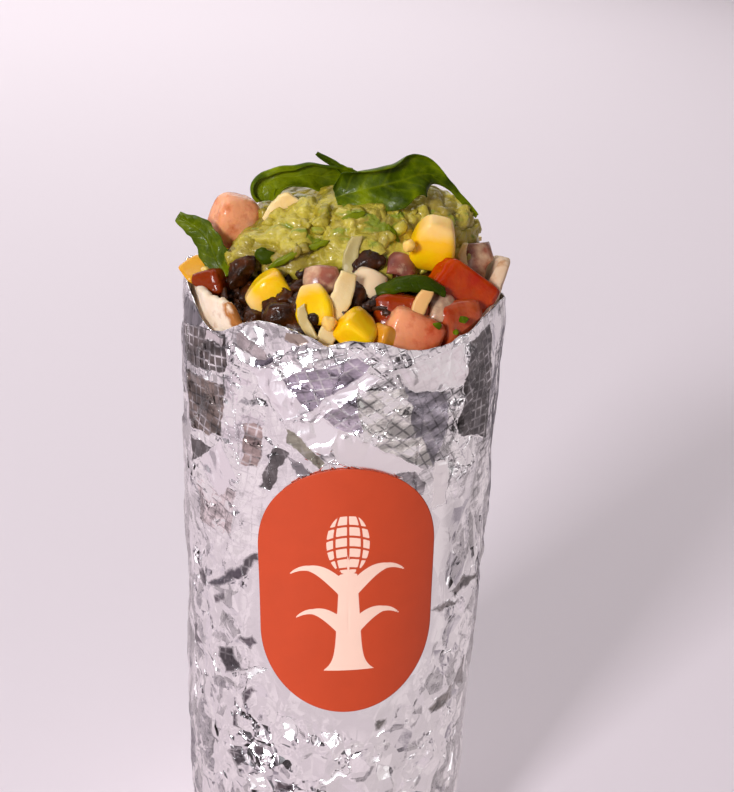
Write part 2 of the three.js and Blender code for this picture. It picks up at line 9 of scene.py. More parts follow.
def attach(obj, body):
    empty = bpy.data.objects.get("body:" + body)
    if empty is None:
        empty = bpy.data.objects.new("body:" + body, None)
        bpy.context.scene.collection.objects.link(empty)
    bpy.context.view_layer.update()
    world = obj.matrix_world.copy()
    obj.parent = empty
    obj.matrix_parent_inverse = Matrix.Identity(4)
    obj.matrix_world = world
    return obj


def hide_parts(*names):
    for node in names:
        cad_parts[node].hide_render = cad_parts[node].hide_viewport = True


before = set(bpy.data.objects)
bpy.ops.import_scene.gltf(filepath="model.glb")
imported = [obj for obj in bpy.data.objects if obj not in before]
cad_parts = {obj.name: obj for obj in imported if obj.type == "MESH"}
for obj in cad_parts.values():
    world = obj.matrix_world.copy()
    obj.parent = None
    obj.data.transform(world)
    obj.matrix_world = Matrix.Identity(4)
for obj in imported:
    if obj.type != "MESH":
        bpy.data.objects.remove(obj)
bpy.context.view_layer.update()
mm = 0.001
tau = 2 * math.pi


# camera

cameraPlace = {
    "target": (6.4, 0, 122.7), "distance": 400, "elevation": 19, "roll": 2.5, "lens": 76.18, "sensor": 36,
    "nearest": 0.02, "furthest": 20,
}


def addCamera(place):
    # stands back along the line of sight and leans by the roll
    lift, lean = math.radians(place["elevation"]), math.radians(place["roll"])
    back = np.array([0, -math.cos(lift), math.sin(lift)])
    up = np.array([0, math.sin(lift), math.cos(lift)])
    side = np.array([1.0, 0, 0])
    leaned = [side * math.cos(lean) + up * math.sin(lean), up * math.cos(lean) - side * math.sin(lean), back]
    matrix = Matrix.Identity(4)
    for column, axis in enumerate(leaned):
        for row in range(3):
            matrix[row][column] = float(axis[row])
    data = bpy.data.cameras.new("camera")
    data.lens = place["lens"]
    data.sensor_width = place["sensor"]
    data.clip_start, data.clip_end = place["nearest"], place["furthest"]
    matrix.translation = [float(v) * mm for v in np.array(place["target"]) + place["distance"] * back]
    camera = bpy.data.objects.new("camera", data)
    camera.matrix_world = matrix
    bpy.context.collection.objects.link(camera)
    bpy.context.scene.camera = camera


addCamera(cameraPlace)
print("camera placed")


# noise and small helpers, all on whole arrays

mixers = (374761393, 668265263, 1442695041, 1274126177)
wholeRange = 0xFFFFFFFF


def latticeRandom(ix, iy, iz, seed):
    # a number from 0 to 1 for each lattice cell: its place and the seed, each times a large odd number, are
    # added up and mixed by shifts
    first, second, third, fourth = mixers
    number = ix.astype(np.int64) * first + iy.astype(np.int64) * second + np.int64(iz) * third
    number = (number + seed * fourth) & wholeRange
    number = ((number ^ (number >> 13)) * fourth) & wholeRange
    number = ((number ^ (number >> 16)) * second) & wholeRange
    return (number ^ (number >> 15)) / float(wholeRange)


def smoothStep(low, high, value):
    # from 0 at low to 1 at high, level at both ends
    t = np.clip((value - low) / (high - low), 0, 1)
    return t * t * (3 - 2 * t)


def bell(angle, centre, width):
    # height 1 at the centre, in degrees, falling by the square of the distance
    off = (angle - centre + 180) % 360 - 180
    return np.exp(-((off / width) ** 2))


def softNoise(points, size, seed):
    # value noise: random heights on a cubic lattice, joined by smooth steps, from -1 to 1
    place = points / size
    base = np.floor(place)
    part = place - base
    part = part * part * (3 - 2 * part)
    base = base.astype(np.int64)
    total = np.zeros(points.shape[:-1])
    for dx in (0, 1):
        for dy in (0, 1):
            for dz in (0, 1):
                share = np.abs(1 - dx - part[..., 0]) * np.abs(1 - dy - part[..., 1]) * np.abs(1 - dz - part[..., 2])
                total += share * latticeRandom(base[..., 0] + dx, base[..., 1] + dy, base[..., 2] + dz, seed)
    return total * 2 - 1


def layeredNoise(points, size, seed, layers=3):
    # soft noise at halving sizes and heights
    return sum(softNoise(points, size / 2 ** k, seed + k) / 2 ** k for k in range(layers))


def noiseVector(points, size, seed):
    # three soft noises, one for each axis
    return np.stack([softNoise(points, size, seed + k) for k in range(3)], -1)


def nearestBump(points, size, seed):
    # distance to the nearest of one random point per cubic cell, and that point's own random number
    place = points / size
    base = np.floor(place).astype(np.int64)
    nearest = np.full(points.shape[:-1], 9.0)
    own = np.zeros(points.shape[:-1])
    for dx in (-1, 0, 1):
        for dy in (-1, 0, 1):
            for dz in (-1, 0, 1):
                cx, cy, cz = base[..., 0] + dx, base[..., 1] + dy, base[..., 2] + dz
                away = np.sqrt(
                    (cx + latticeRandom(cx, cy, cz, seed) - place[..., 0]) ** 2
                    + (cy + latticeRandom(cx, cy, cz, seed + 1) - place[..., 1]) ** 2
                    + (cz + latticeRandom(cx, cy, cz, seed + 2) - place[..., 2]) ** 2
                )
                closer = away < nearest
                nearest = np.where(closer, away, nearest)
                own = np.where(closer, latticeRandom(cx, cy, cz, seed + 3), own)
    return nearest, own


def crumple(across, up, size, seed, cellsRound, flatten=0.0, sides=4):
    # flat facets: each cell of a jittered grid has a leaning pit, the greatest of a few tilted planes, and
    # the lowest of the neighbouring pits is the height; across repeats after cellsRound cells, and flatten
    # adds back, with the square of the distance, what the round roll falls away within one cell
    cellAcross, cellUp = across / size, up / size
    baseAcross, baseUp = np.floor(cellAcross).astype(np.int64), np.floor(cellUp).astype(np.int64)
    lowest = np.full(across.shape, 99.0)
    own = np.zeros(across.shape)
    for stepAcross in (-1, 0, 1):
        for stepUp in (-1, 0, 1):
            column, row = baseAcross + stepAcross, baseUp + stepUp
            key = column % cellsRound
            middleAcross = column + 0.05 + 0.9 * latticeRandom(key, row, 1, seed)
            middleUp = row + 0.05 + 0.9 * latticeRandom(key, row, 2, seed)
            turn = tau * latticeRandom(key, row, 3, seed)
            tallest = np.full(across.shape, -9.0)
            for side in range(sides):
                angle = turn + tau * side / sides + 1.1 * (latticeRandom(key, row, 4 + side, seed) - 0.5)
                steep = 0.35 + 1.2 * latticeRandom(key, row, 14 + side, seed)
                away = (cellAcross - middleAcross) * np.cos(angle) + (cellUp - middleUp) * np.sin(angle)
                tallest = np.maximum(tallest, away * steep)
            tallest = tallest + 0.3 * latticeRandom(key, row, 30, seed) + flatten * (cellAcross - middleAcross) ** 2
            lower = tallest < lowest
            lowest = np.where(lower, tallest, lowest)
            own = np.where(lower, latticeRandom(key, row, 31, seed), own)
    return lowest - 0.42, own


def around(angle, radius, height):
    # a point round the roll's axis: angle 0 is the front, -Y
    turn = np.radians(angle)
    return np.stack(np.broadcast_arrays(radius * np.sin(turn), -radius * np.cos(turn), height), -1)


def turned(points, at, turn):
    # turns points about X, then Y, then Z, and moves them to their place
    (cx, cy, cz), (sx, sy, sz) = np.cos(np.radians(turn)), np.sin(np.radians(turn))
    aboutX = np.array([[1, 0, 0], [0, cx, -sx], [0, sx, cx]])
    aboutY = np.array([[cy, 0, sy], [0, 1, 0], [-sy, 0, cy]])
    aboutZ = np.array([[cz, -sz, 0], [sz, cz, 0], [0, 0, 1]])
    return points @ (aboutZ @ aboutY @ aboutX).T + np.array(at)


# meshes from grids

def closedGrid(rows, columns):
    # faces of a grid that closes round its columns, with a fan to a pole at each end
    row, column = np.meshgrid(np.arange(rows - 1), np.arange(columns), indexing="ij")
    following = (column + 1) % columns
    first = row * columns
    quads = np.stack([first + column, first + following, first + columns + following, first + columns + column], -1)
    ring = np.arange(columns)
    after = (ring + 1) % columns
    low, high = rows * columns, rows * columns + 1
    last = (rows - 1) * columns
    fans = [
        np.stack([np.full(columns, low), after, ring], -1),
        np.stack([np.full(columns, high), last + ring, last + after], -1),
    ]
    return quads.reshape(-1, 4), np.concatenate(fans)


def thickGrid(rows, columns):
    # faces of two like grids, one over the other, joined round their edge
    row, column = np.meshgrid(np.arange(rows - 1), np.arange(columns - 1), indexing="ij")
    first = row * columns + column
    upper = np.stack([first, first + 1, first + columns + 1, first + columns], -1).reshape(-1, 4)
    under = upper[:, ::-1] + rows * columns
    edge = np.concatenate([
        np.arange(columns - 1),
        np.arange(rows - 1) * columns + columns - 1,
        (rows - 1) * columns + np.arange(columns - 1, 0, -1),
        np.arange(rows - 1, 0, -1) * columns,
    ])
    following = np.roll(edge, -1)
    rim = np.stack([edge, edge + rows * columns, following + rows * columns, following], -1)
    return np.concatenate([upper, under, rim]), np.zeros((0, 3), np.int64)


def addMesh(name, points, quads, triangles, material, slot, values=None, places=None, solid=None):
    # points in millimetres; values are numbers and places are vectors kept on each point for the material;
    # solid names the solid that the piece stands for
    mesh = bpy.data.meshes.new(name)
    mesh.from_pydata((points.reshape(-1, 3) * mm).tolist(), [], quads.tolist() + triangles.tolist())
    mesh.polygons.foreach_set("use_smooth", np.full(len(mesh.polygons), True))
    for key, numbers in (values or {}).items():
        mesh.attributes.new(key, "FLOAT", "POINT").data.foreach_set("value", numbers.ravel().astype(np.float32))
    for key, vectors in (places or {}).items():
        data = mesh.attributes.new(key, "FLOAT_VECTOR", "POINT").data
        data.foreach_set("vector", vectors.ravel().astype(np.float32))
    mesh.materials.append(material)
    mesh.update()
    piece = bpy.data.objects.new(name, mesh)
    bpy.context.collection.objects.link(piece)
    if solid:
        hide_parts(solid)
    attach(piece, "root")
    return piece


def capped(rings):
    # a grid's points with the middles of its first and last rings after them, as poles
    points = rings.reshape(-1, 3)
    return np.concatenate([points, rings[0].mean(0)[None], rings[-1].mean(0)[None]])


def capValues(numbers):
    # one number for each point of a grid, and for each pole the mean of its ring
    return np.concatenate([numbers.ravel(), [numbers[0].mean()], [numbers[-1].mean()]])


# materials

def startMaterial(name, **sockets):
    # a Principled material, its tree and its shader; the keywords are fixed sockets
    material = bpy.data.materials.new(name)
    material.use_nodes = True
    tree = material.node_tree
    shader = tree.nodes["Principled BSDF"]
    for socket, value in sockets.items():
        shader.inputs[socket.replace("_", " ")].default_value = value
    return material, tree, shader


def node(tree, kind, operation=None, **sockets):
    # a shader node; a keyword names a socket, or gives its number after an i, and takes a value or an output
    made = tree.nodes.new("ShaderNode" + kind)
    if operation:
        made.operation = operation
    for socket, value in sockets.items():
        key = int(socket[1:]) if socket[1:].isdigit() and socket[0] == "i" else socket.replace("_", " ")
        if hasattr(value, "links"):
            tree.links.new(value, made.inputs[key])
        else:
            made.inputs[key].default_value = value
    return made


def objectPlace(tree):
    return node(tree, "TexCoord").outputs["Object"]


def attribute(tree, name, output="Fac"):
    made = tree.nodes.new("ShaderNodeAttribute")
    made.attribute_name = name
    return made.outputs[output]


def noiseOf(tree, place, scale, detail=4, roughness=0.55):
    return node(tree, "TexNoise", Vector=place, Scale=scale, Detail=detail, Roughness=roughness).outputs["Fac"]


def ramp(tree, value, stops):
    # colours along a value from 0 to 1
    made = node(tree, "ValToRGB", Fac=value)
    elements = made.color_ramp.elements
    while len(elements) < len(stops):
        elements.new(0.5)
    for element, (position, colour) in zip(elements, stops):
        element.position = position
        element.color = (*colour, 1)
    return made.outputs["Color"]


def mixed(tree, share, first, second, kind="RGBA"):
    # the first where the share is 0 and the second where it is 1; each may be a value or an output
    made = tree.nodes.new("ShaderNodeMix")
    made.data_type = kind
    start, end, result = {"FLOAT": (2, 3, 0), "VECTOR": (4, 5, 1), "RGBA": (6, 7, 2)}[kind]
    for socket, value in ((made.inputs[0], share), (made.inputs[start], first), (made.inputs[end], second)):
        if hasattr(value, "links"):
            tree.links.new(value, socket)
        elif isinstance(value, tuple) and kind == "RGBA":
            socket.default_value = (*value, 1)
        else:
            socket.default_value = value
    return made.outputs[result]


def calc(tree, operation, first, second=0.0):
    return node(tree, "Math", operation, i0=first, i1=second).outputs[0]


def times(tree, first, second):
    return calc(tree, "MULTIPLY", first, second)


def plus(tree, first, second):
    return calc(tree, "ADD", first, second)


def vectorCalc(tree, operation, *values, **sockets):
    sockets.update({f"i{number}": value for number, value in enumerate(values)})
    return node(tree, "VectorMath", operation, **sockets).outputs[0]


def spread(tree, value, low, high, toLow=0.0, toHigh=1.0):
    # carries a value's range from low to high over to another range, and holds it there
    made = node(tree, "MapRange", Value=value, From_Min=low, From_Max=high, To_Min=toLow, To_Max=toHigh)
    return made.outputs[0]


def faceted(tree, normal, place, cell, tilt, flat=None):
    # gives each cell, of the given size in metres, one random lean, few of them far; where flat is 1 the whole
    # cell lies in one plane that faces away from the roll's axis
    cells = node(tree, "TexVoronoi", Vector=place, Scale=1 / cell).outputs
    if flat:
        level = vectorCalc(tree, "NORMALIZE", vectorCalc(tree, "MULTIPLY", cells["Position"], (1, 1, 0)))
        normal = mixed(tree, flat, normal, level, "VECTOR")
    lean = vectorCalc(tree, "SUBTRACT", cells["Color"], (0.5, 0.5, 0.5))
    square = vectorCalc(tree, "MULTIPLY_ADD", lean, lean, (0.04, 0.04, 0.04))
    lean = vectorCalc(tree, "SCALE", vectorCalc(tree, "MULTIPLY", lean, square), Scale=tilt)
    return vectorCalc(tree, "NORMALIZE", vectorCalc(tree, "ADD", normal, lean))


def bumped(tree, shader, layers, normal=None):
    # bump layers of (height, distance in metres, strength), each on the one before
    for height, distance, strength in layers:
        made = node(tree, "Bump", Height=height, Distance=distance, Strength=strength)
        if normal:
            tree.links.new(normal, made.inputs["Normal"])
        normal = made.outputs["Normal"]
    tree.links.new(normal, shader.inputs["Normal"])


# the roll's own sizes

roll = {
    "labelHeight": 88, "radius": 36, "taper": 0.028, "baseRound": 10, "baseInset": 7.5,
    "rim": 152.6, "heapTop": 158.5, "heapRadius": 32, "heapFall": 2.5,
    # where the foil's rim is torn: depth in mm, angle and half width in degrees
    "torn": ((8, 26, 36), (7.4, -49, 16), (3.6, 100, 15), (1.8, -4, 6)),
}


def rollRadius(z):
    # a cone that widens upwards, its lowest edge rounded in by a quarter circle
    down = np.clip(1 - z / roll["baseRound"], 0, 1)
    rounded = roll["baseInset"] * (1 - np.sqrt(1 - down * down))
    return roll["radius"] + roll["taper"] * (z - roll["labelHeight"]) - rounded


def rimHeight(angle):
    # the foil's rim: two waves, torn lower in front, notched at both sides
    waves = 0.7 * np.sin(np.radians(3 * angle) + 1) + 0.5 * np.sin(np.radians(7 * angle))
    torn = sum(depth * bell(angle, middle, width) for depth, middle, width in roll["torn"])
    return roll["rim"] + waves - torn


def tortillaHeight(angle):
    # the tortilla's rim: tucked under the foil's, standing over it at the left, the right and behind
    tucked = np.minimum(rimHeight(angle), 150.5) - 1.6 + 0.6 * np.sin(np.radians(5 * angle))
    tucked = tucked + 6.5 * bell(angle, -98, 20) + 9.5 * np.exp(-(((angle - 90) / 20) ** 4)) + 4 * bell(angle, 165, 45)
    flap = smoothStep(-78, -66, angle) * (1 - smoothStep(-45, -37, angle))
    return tucked + (151.6 - tucked) * flap


def heapHeight(angle, radius):
    # the heap's top, falling from the middle to just under the rim by a power of the radius
    edge = rimHeight(angle) - 0.5
    return roll["heapTop"] + (edge - roll["heapTop"]) * (radius / roll["heapRadius"]) ** roll["heapFall"]


def keptInside(points, margin=5.0):
    # draws points in to the tortilla's inside, easing out to the foil's over the tortilla's rim, and lets
    # them free above the foil's rim
    angle = np.degrees(np.arctan2(points[..., 0], -points[..., 1]))
    away = np.hypot(points[..., 0], points[..., 1])
    inFoil = smoothStep(-2.5, 1.5, points[..., 2] - tortillaHeight(angle))
    free = smoothStep(-0.5, 5, points[..., 2] - np.maximum(rimHeight(angle), tortillaHeight(angle)))
    limit = rollRadius(points[..., 2]) - margin + (margin - 1.6) * inFoil + 9 * free
    over = np.maximum(away - limit + 0.6, 0)
    share = (away - over * over / (over + 0.6)) / np.maximum(away, 1e-6)
    return np.concatenate([points[..., :2] * share[..., None], points[..., 2:]], -1)


# foil

foilLook = {
    "columns": 384, "wallRows": 216, "thickness": 0.45, "lean": 0.6,
    # facets round the roll, then their depth in mm at the base and at the rim
    "facets": {"large": (10, 1.3, 1.9), "middle": (21, 1.6, 0.8), "small": (46, 0.8, 0.22), "fine": (110, 0.2, 0.05)},
    "tint": (0.95, 0.94, 0.955), "roughness": (0.09, 0.17), "creaseSize": 0.0105, "creaseDepth": 0.72,
    # the embossed grid: pitch and depth in mm, its fields' lean, the lines' slants in front and elsewhere in
    # radians, the front's middle and half width in degrees, the painted shade and painted highlight on its lines, and
    # how far its fields' tone varies at random
    "gridPitch": 2.25, "gridDepth": 0.055, "quilt": 0.3, "gridSlants": (0.62, 0.04), "gridFront": (15, 38),
    "gridTurn": 0.35, "linePaintedShade": 0.38, "linePaintedHighlight": 0.78, "mottle": (-0.45, 0.9),
    "pleats": 23, "pleatDepth": 0.9, "pleatHeight": 14,
    # cell size in metres, lean near the base and near the rim, how flat the cells lie, and the lip's added lean
    "cells": [(0.017, 1.1, 2.2, 0.85, 1), (0.0082, 2.6, 1.6, 0.35, 3), (0.0036, 2.6, 0.2, 0, 4)],
    # flat folded sheets, the later over the earlier: corners in degrees round the roll and mm up, clockwise as
    # seen from outside; tone, the dark ones painted dark reflections, lean to the side and upwards in degrees, and how
    # far the quilted pattern shows
    "sheets": [
        (((-77, 148), (-57, 150), (-56, 146), (-70, 134), (-76, 135)), (0.24, 0.23, 0.25), (0, 0), 0.2),
        (((-74, 143), (-43, 145), (-40, 136), (-68, 134)), (0.105, 0.09, 0.085), (0, 0), 1.0),
        (((-17, 127), (-13, 126), (-3.5, 119.5), (-5, 118), (-16, 123.5)), (0.36, 0.35, 0.28), (0, 0), 0.45),
        (((-54, 144), (-44, 144), (-44, 142), (-54, 142)), (0.80, 0.75, 0.76), (0, 0), 0.0),
        (((-69, 132), (-42, 133), (-44, 121), (-64, 119)), (0.22, 0.18, 0.16), (0, 4), 1.0),
        (((-64, 117), (-46, 117), (-63, 111)), (0.14, 0.13, 0.13), (0, 0), 0.45),
        (((-60, 109), (-36, 109), (-38, 98), (-58, 97)), (0.90, 0.82, 0.82), (0, 0), 0.8),
        (((-58, 112), (-45, 120), (-35, 112), (-46, 106)), (1.0, 0.97, 1.0), (0, 0), 0.0),
        (((-41, 138), (-30, 138), (-25, 125), (-34, 115), (-43, 120)), (1.0, 0.96, 1.0), (0, 0), 0.5),
        (((-33, 126), (-26, 126), (-27, 116), (-34, 116)), (0.42, 0.34, 0.32), (0, 0), 0.9),
        (((-21, 122), (-16, 121), (-23, 111), (-27, 111)), (0.16, 0.15, 0.15), (0, 0), 0.45),
        (((-17, 120), (-12, 119), (-8.5, 116.5), (-11, 114.5), (-16, 118)), (0.40, 0.38, 0.40), (0, 0), 0.6),
        (((-22, 141), (-12, 146), (8, 146), (12, 143), (-18, 138)), (1.0, 0.97, 1.0), (0, 6), 1.0),
        (((-20, 139), (6, 144), (10, 142), (5, 137), (-9, 130), (-14, 132)), (0.40, 0.36, 0.43), (0, 0), 1.0),
        (((-31, 140), (-21, 140), (-10, 131), (-17, 128)), (1.0, 0.97, 1.0), (9, 0), 0.0),
        (((-6, 131), (7, 136), (9, 127), (0, 127)), (0.45, 0.41, 0.47), (0, 0), 1.0),
        (((6, 136), (24, 137), (30, 126), (10, 124)), (0.80, 0.80, 0.76), (0, 0), 1.0),
        (((22, 139), (40, 134), (41, 125), (36, 117), (28, 125)), (0.36, 0.35, 0.39), (0, 0), 1.0),
        (((12, 125), (30, 125), (36, 117), (18, 121)), (0.78, 0.78, 0.74), (0, -5), 1.0),
        (((-1, 128), (10, 125), (32, 117), (28, 114), (0, 120)), (1.0, 0.97, 0.98), (0, 0), 0.0),
        (((-15, 128), (-5, 131), (1, 127), (-2, 121), (-9, 123)), (1.0, 0.98, 1.0), (0, 0), 0.0),
        (((-12, 130), (9, 141), (14, 139), (-8, 129)), (1.0, 0.97, 1.0), (0, 0), 0.0),
        (((11, 140), (46, 145), (48, 134), (34, 132), (26, 136), (9, 137)), (1.0, 0.97, 0.98), (0, 0), 0.2),
        (((37, 118), (44, 118), (44, 107), (37, 107)), (1.0, 0.98, 0.98), (0, 0), 0.0),
        (((48, 145), (62, 147), (66, 133), (64, 120), (47, 123)), (0.13, 0.12, 0.12), (0, 0), 0.7),
        (((-36, 147), (-30, 149), (-24, 149), (-25, 145), (-29, 145)), (1.0, 1.0, 1.0), (14, 15), 0.0),
        (((-38, 143), (-26, 143), (-28, 140), (-33, 140)), (1.0, 1.0, 1.0), (17, 15), 0.0),
        (((-37, 146), (-35, 147), (-21, 143), (-26, 142), (-37, 143)), (0.55, 0.50, 0.50), (0, 0), 0.45),
        (((-27, 142), (-21, 144), (-21, 142), (-28, 140)), (0.22, 0.20, 0.24), (0, 0), 0.45),
        (((-17, 149), (-12, 149), (-9, 147), (-13, 146), (-17, 147)), (0.42, 0.34, 0.29), (0, 0), 0.0),
        (((22, 116.5), (28, 116.5), (34, 113.5), (33, 110.5), (29, 110.5)), (0.42, 0.40, 0.42), (0, 0), 0.9),
        (((-21, 138), (-16, 142), (-8, 146), (-8, 142), (-15, 139)), (1.0, 1.0, 1.0), (0, 17), 0.5),
    ],
    # how far in mm the sheets' edges wander, and half their width: of these sheets, and of the lower ones
    "upperEdge": (3.0, 0.12), "lowerEdge": (3.6, 0.4),
    # the height in mm below which the foil is a material of its own, and that one's sheets, the dark ones painted shade
    # in creases
    "border": 96.6,
    "lowSheets": [
        (((-50, 83), (-35, 91), (-34, 88.5), (-45, 83)), (0.12, 0.11, 0.13), (0, 0), 0.45),
        (((-35, 91), (-27, 96), (-26, 93.5), (-34, 88.5)), (0.13, 0.12, 0.13), (0, 0), 0.45),
        (((-44, 68), (-38, 69), (-34, 64), (-42, 62)), (0.12, 0.11, 0.12), (0, 0), 0.45),
        (((-35, 57), (-30, 60), (-29, 59), (-33, 54)), (0.14, 0.12, 0.14), (0, 0), 0.45),
        (((-42, 40), (-36, 42), (-33, 39), (-37, 37)), (0.12, 0.11, 0.12), (0, 0), 0.45),
        (((64, 62), (70, 61), (68, 54), (60, 57)), (0.28, 0.26, 0.26), (0, 0), 0.45),
        (((50, 56), (58, 57), (59, 53), (46, 52), (44, 54)), (0.30, 0.28, 0.27), (0, 0), 0.45),
        (((41, 80), (48, 81.5), (58, 79), (48, 79)), (0.24, 0.22, 0.22), (0, 0), 0.45),
        (((-62, 84), (-57, 85), (-53, 82), (-58, 80)), (0.20, 0.18, 0.20), (0, 0), 0.45),
        (((-47, 80.5), (-42, 82), (-43, 80), (-48, 78.5)), (0.18, 0.16, 0.18), (0, 0), 0.45),
        (((-69, 67), (-62, 69), (-58, 65), (-65, 63)), (0.22, 0.20, 0.22), (0, 0), 0.45),
        (((-35, 72), (-29, 74), (-27, 72), (-31, 70)), (0.16, 0.14, 0.16), (0, 0), 0.45),
        (((-39.5, 51.5), (-37, 51), (-35.5, 48), (-38, 48)), (0.14, 0.12, 0.14), (0, 0), 0.45),
        (((-29, 44.5), (-24, 45), (-25, 42.5), (-28, 42)), (0.14, 0.12, 0.13), (0, 0), 0.45),
        (((-19, 36), (-12, 37), (-12, 34.5), (-19, 34)), (0.14, 0.12, 0.13), (0, 0), 0.45),
        (((52, 83), (60, 85), (74, 83), (56, 81)), (0.26, 0.24, 0.24), (0, 0), 0.45),
        (((19, 54.5), (24, 54.5), (23, 52), (20, 52)), (0.22, 0.21, 0.20), (0, 0), 0.45),
        (((-50, 63), (-46, 66), (-44, 60), (-48, 59)), (1.0, 1.0, 1.0), (33, 17), 0.0),
        (((-33, 64), (-24, 66), (-25, 64), (-32, 62)), (1.0, 1.0, 1.0), (14, 17), 0.0),
        (((-17, 53), (-14, 55), (-10, 51), (-12, 49), (-15, 50)), (1.0, 1.0, 1.0), (0, 17), 0.0),
        (((-1, 51), (4, 52), (5, 49), (3, 46), (0, 49)), (1.0, 1.0, 1.0), (-16, 17), 0.0),
        (((20, 50), (23, 53), (24, 51), (21, 49)), (1.0, 1.0, 1.0), (-36, 17), 0.0),
        (((-1, 39), (10, 43), (11, 41), (0, 38)), (1.0, 1.0, 1.0), (-19, 17), 0.0),
        (((-33, 36), (-27, 37), (-23, 34), (-30, 32)), (1.0, 1.0, 1.0), (14, 17), 0.0),
        (((41, 43), (43, 44), (45, 42), (43, 41)), (1.0, 1.0, 1.0), (-57, 17), 0.0),
        (((20, 44), (22, 45), (23, 43), (21, 42)), (1.0, 1.0, 1.0), (-36, 17), 0.0),
    ],
    # painted dark reflections as upright streaks: degrees round the roll, lowest and highest mm, half width in degrees
    # and depth of tone
    "paintedStreaks": [
        (-81, 98, 146, 2.6, 0.55), (-77, 34, 92, 2.6, 0.42), (-86, 60, 120, 2.0, 0.3), (77, 112, 148, 2.8, 0.5),
        (81, 58, 110, 2.6, 0.42), (48, 84, 126, 4.0, 0.14), (62, 88, 120, 4.0, 0.24),
    ],
    # raised sheet edges: from angle and mm up, to angle and mm up, height in mm, and how far it runs out
    "folds": [
        (-40, 140, -13, 118, 0.7, 10), (-11, 129, 10, 138, -0.6, 6), (47, 150, 47, 108, 0.8, 8),
        (-84, 140, -62, 104, 0.7, 12), (120, 150, 150, 80, 0.9, 16), (-150, 60, -112, 118, 0.9, 16),
        (170, 40, 200, 120, 0.8, 16), (62, 60, 88, 98, 0.6, 12), (-70, 30, -30, 52, 0.6, 12),
    ],
    # the folded lip's height and depth in mm, and the degrees over which it starts and ends
    "lip": {"height": 1.1, "depth": 8.5, "start": (-36, -31), "end": (-5, 4)},
    # the wall inside: mm below the rim and thickness there, then height above the base and thickness
    "inside": ((0.4, 0.45), (3, 0.55), (7, 1.1), (12, 1.7), (40, 2), (90, 2)), "foot": ((14, 2), (6, 2), (1.2, 2)),
}
labelLook = {
    "width": 41, "length": 61, "thickness": 0.35, "gap": 0.3, "turn": 6.5, "tilt": 2.4,
    "ground": (0.56, 0.057, 0.011), "print": (0.98, 0.66, 0.52), "mottle": (0.93, 1.08),
    # the printed plant, in mm from the label's middle: the stalk's half width, foot and top; the cob's middle,
    # half width and half height; and each pair of leaves' foot, reach and rise
    "stalk": (1.9, -19.5, 5), "cob": (12.4, 4.7, 7.4), "leaves": ((0.5, 12.6, 7.6), (-9.5, 11.4, 6.8)),
}


def besideLabel(angle, z):
    # distance outside the label's outline, negative inside it
    across = np.radians(angle - labelLook["turn"]) * roll["radius"]
    up = z - roll["labelHeight"]
    tilt = math.radians(labelLook["tilt"])
    s = across * math.cos(tilt) + up * math.sin(tilt)
    t = up * math.cos(tilt) - across * math.sin(tilt)
    straight = (labelLook["length"] - labelLook["width"]) / 2
    return np.hypot(s, np.maximum(0, np.abs(t) - straight)) - labelLook["width"] / 2


def foilRelief(angle, z):
    # facets of four sizes: large ones lead near the rim and small ones near the base, calm under the label
    girth = tau * roll["radius"]
    across = np.radians(angle % 360) * roll["radius"]
    wander = around(angle, roll["radius"], z)
    sway = 2.4 * softNoise(wander, 21, 3)
    drift = 2.4 * softNoise(wander, 19, 4)
    high = smoothStep(86, 112, z + 7 * softNoise(wander, 16, 5))
    lip = foilLip(angle, z)
    relief = np.zeros(np.shape(z))
    cells = {}
    for key, (cellsRound, low, top) in foilLook["facets"].items():
        size = girth / cellsRound
        share = {"large": high, "middle": 1 - high}.get(key, 0)
        depth = low + (top - low) * high + 0.8 * (key == "small") * np.minimum(lip, 1)
        flatten = share * size * size / (2 * roll["radius"]) / np.maximum(depth, 0.5)
        facets, own = crumple(across + sway, z + drift + 40, size, 7 + cellsRound, cellsRound, flatten)
        relief = relief + depth * facets
        cells[key] = own
    clear = smoothStep(1.0, 7.5, besideLabel(angle, z))
    sheets = smoothStep(98, 112, z) * smoothStep(84, 62, np.abs((angle + 180) % 360 - 180 + 6))
    sides = 0.45 * (bell(angle, -92, 24) + bell(angle, 94, 24))
    return np.clip(relief, -2.4, 2.6) * (0.1 + 0.9 * clear) * (1 - 0.7 * sheets) * (1 - sides), cells


def arcBetween(start, end):
    # length in mm round the roll from one angle to another
    return ((end - start + 180) % 360 - 180) * math.pi / 180 * roll["radius"]


def foilFolds(angle, z):
    # overlapping sheet edges: each raises the foil on one side of a slanting line, for part of its length
    folds = np.zeros(np.shape(z))
    for startAngle, startZ, endAngle, endZ, height, fade in foilLook["folds"]:
        s = arcBetween(startAngle, angle)
        t = z - startZ
        run = np.array([arcBetween(startAngle, endAngle), endZ - startZ])
        length = np.hypot(*run)
        along = (s * run[0] + t * run[1]) / length
        beside = (t * run[0] - s * run[1]) / length + 0.8 * np.sin(along * 0.7)
        there = smoothStep(-2, 2, along) * (1 - smoothStep(length - 2, length + 2, along))
        folds += height * there * smoothStep(-0.35, 0.35, beside) * np.exp(-np.maximum(beside, 0) / fade)
    return folds * smoothStep(0.5, 5, besideLabel(angle, z))


def foilLip(angle, z):
    # the rim folded over to the outside at the front left: a swelling with a sharp lower edge
    look = foilLook["lip"]
    below = rimHeight(angle) - z
    width = smoothStep(*look["start"], angle) * (1 - smoothStep(*look["end"], angle))
    depth = look["depth"] + 1.8 * np.sin(np.radians(angle * 9)) + 1.2 * np.sin(np.radians(angle * 23))
    return look["height"] * width * (1 - smoothStep(depth - 0.5, depth + 0.3, below))


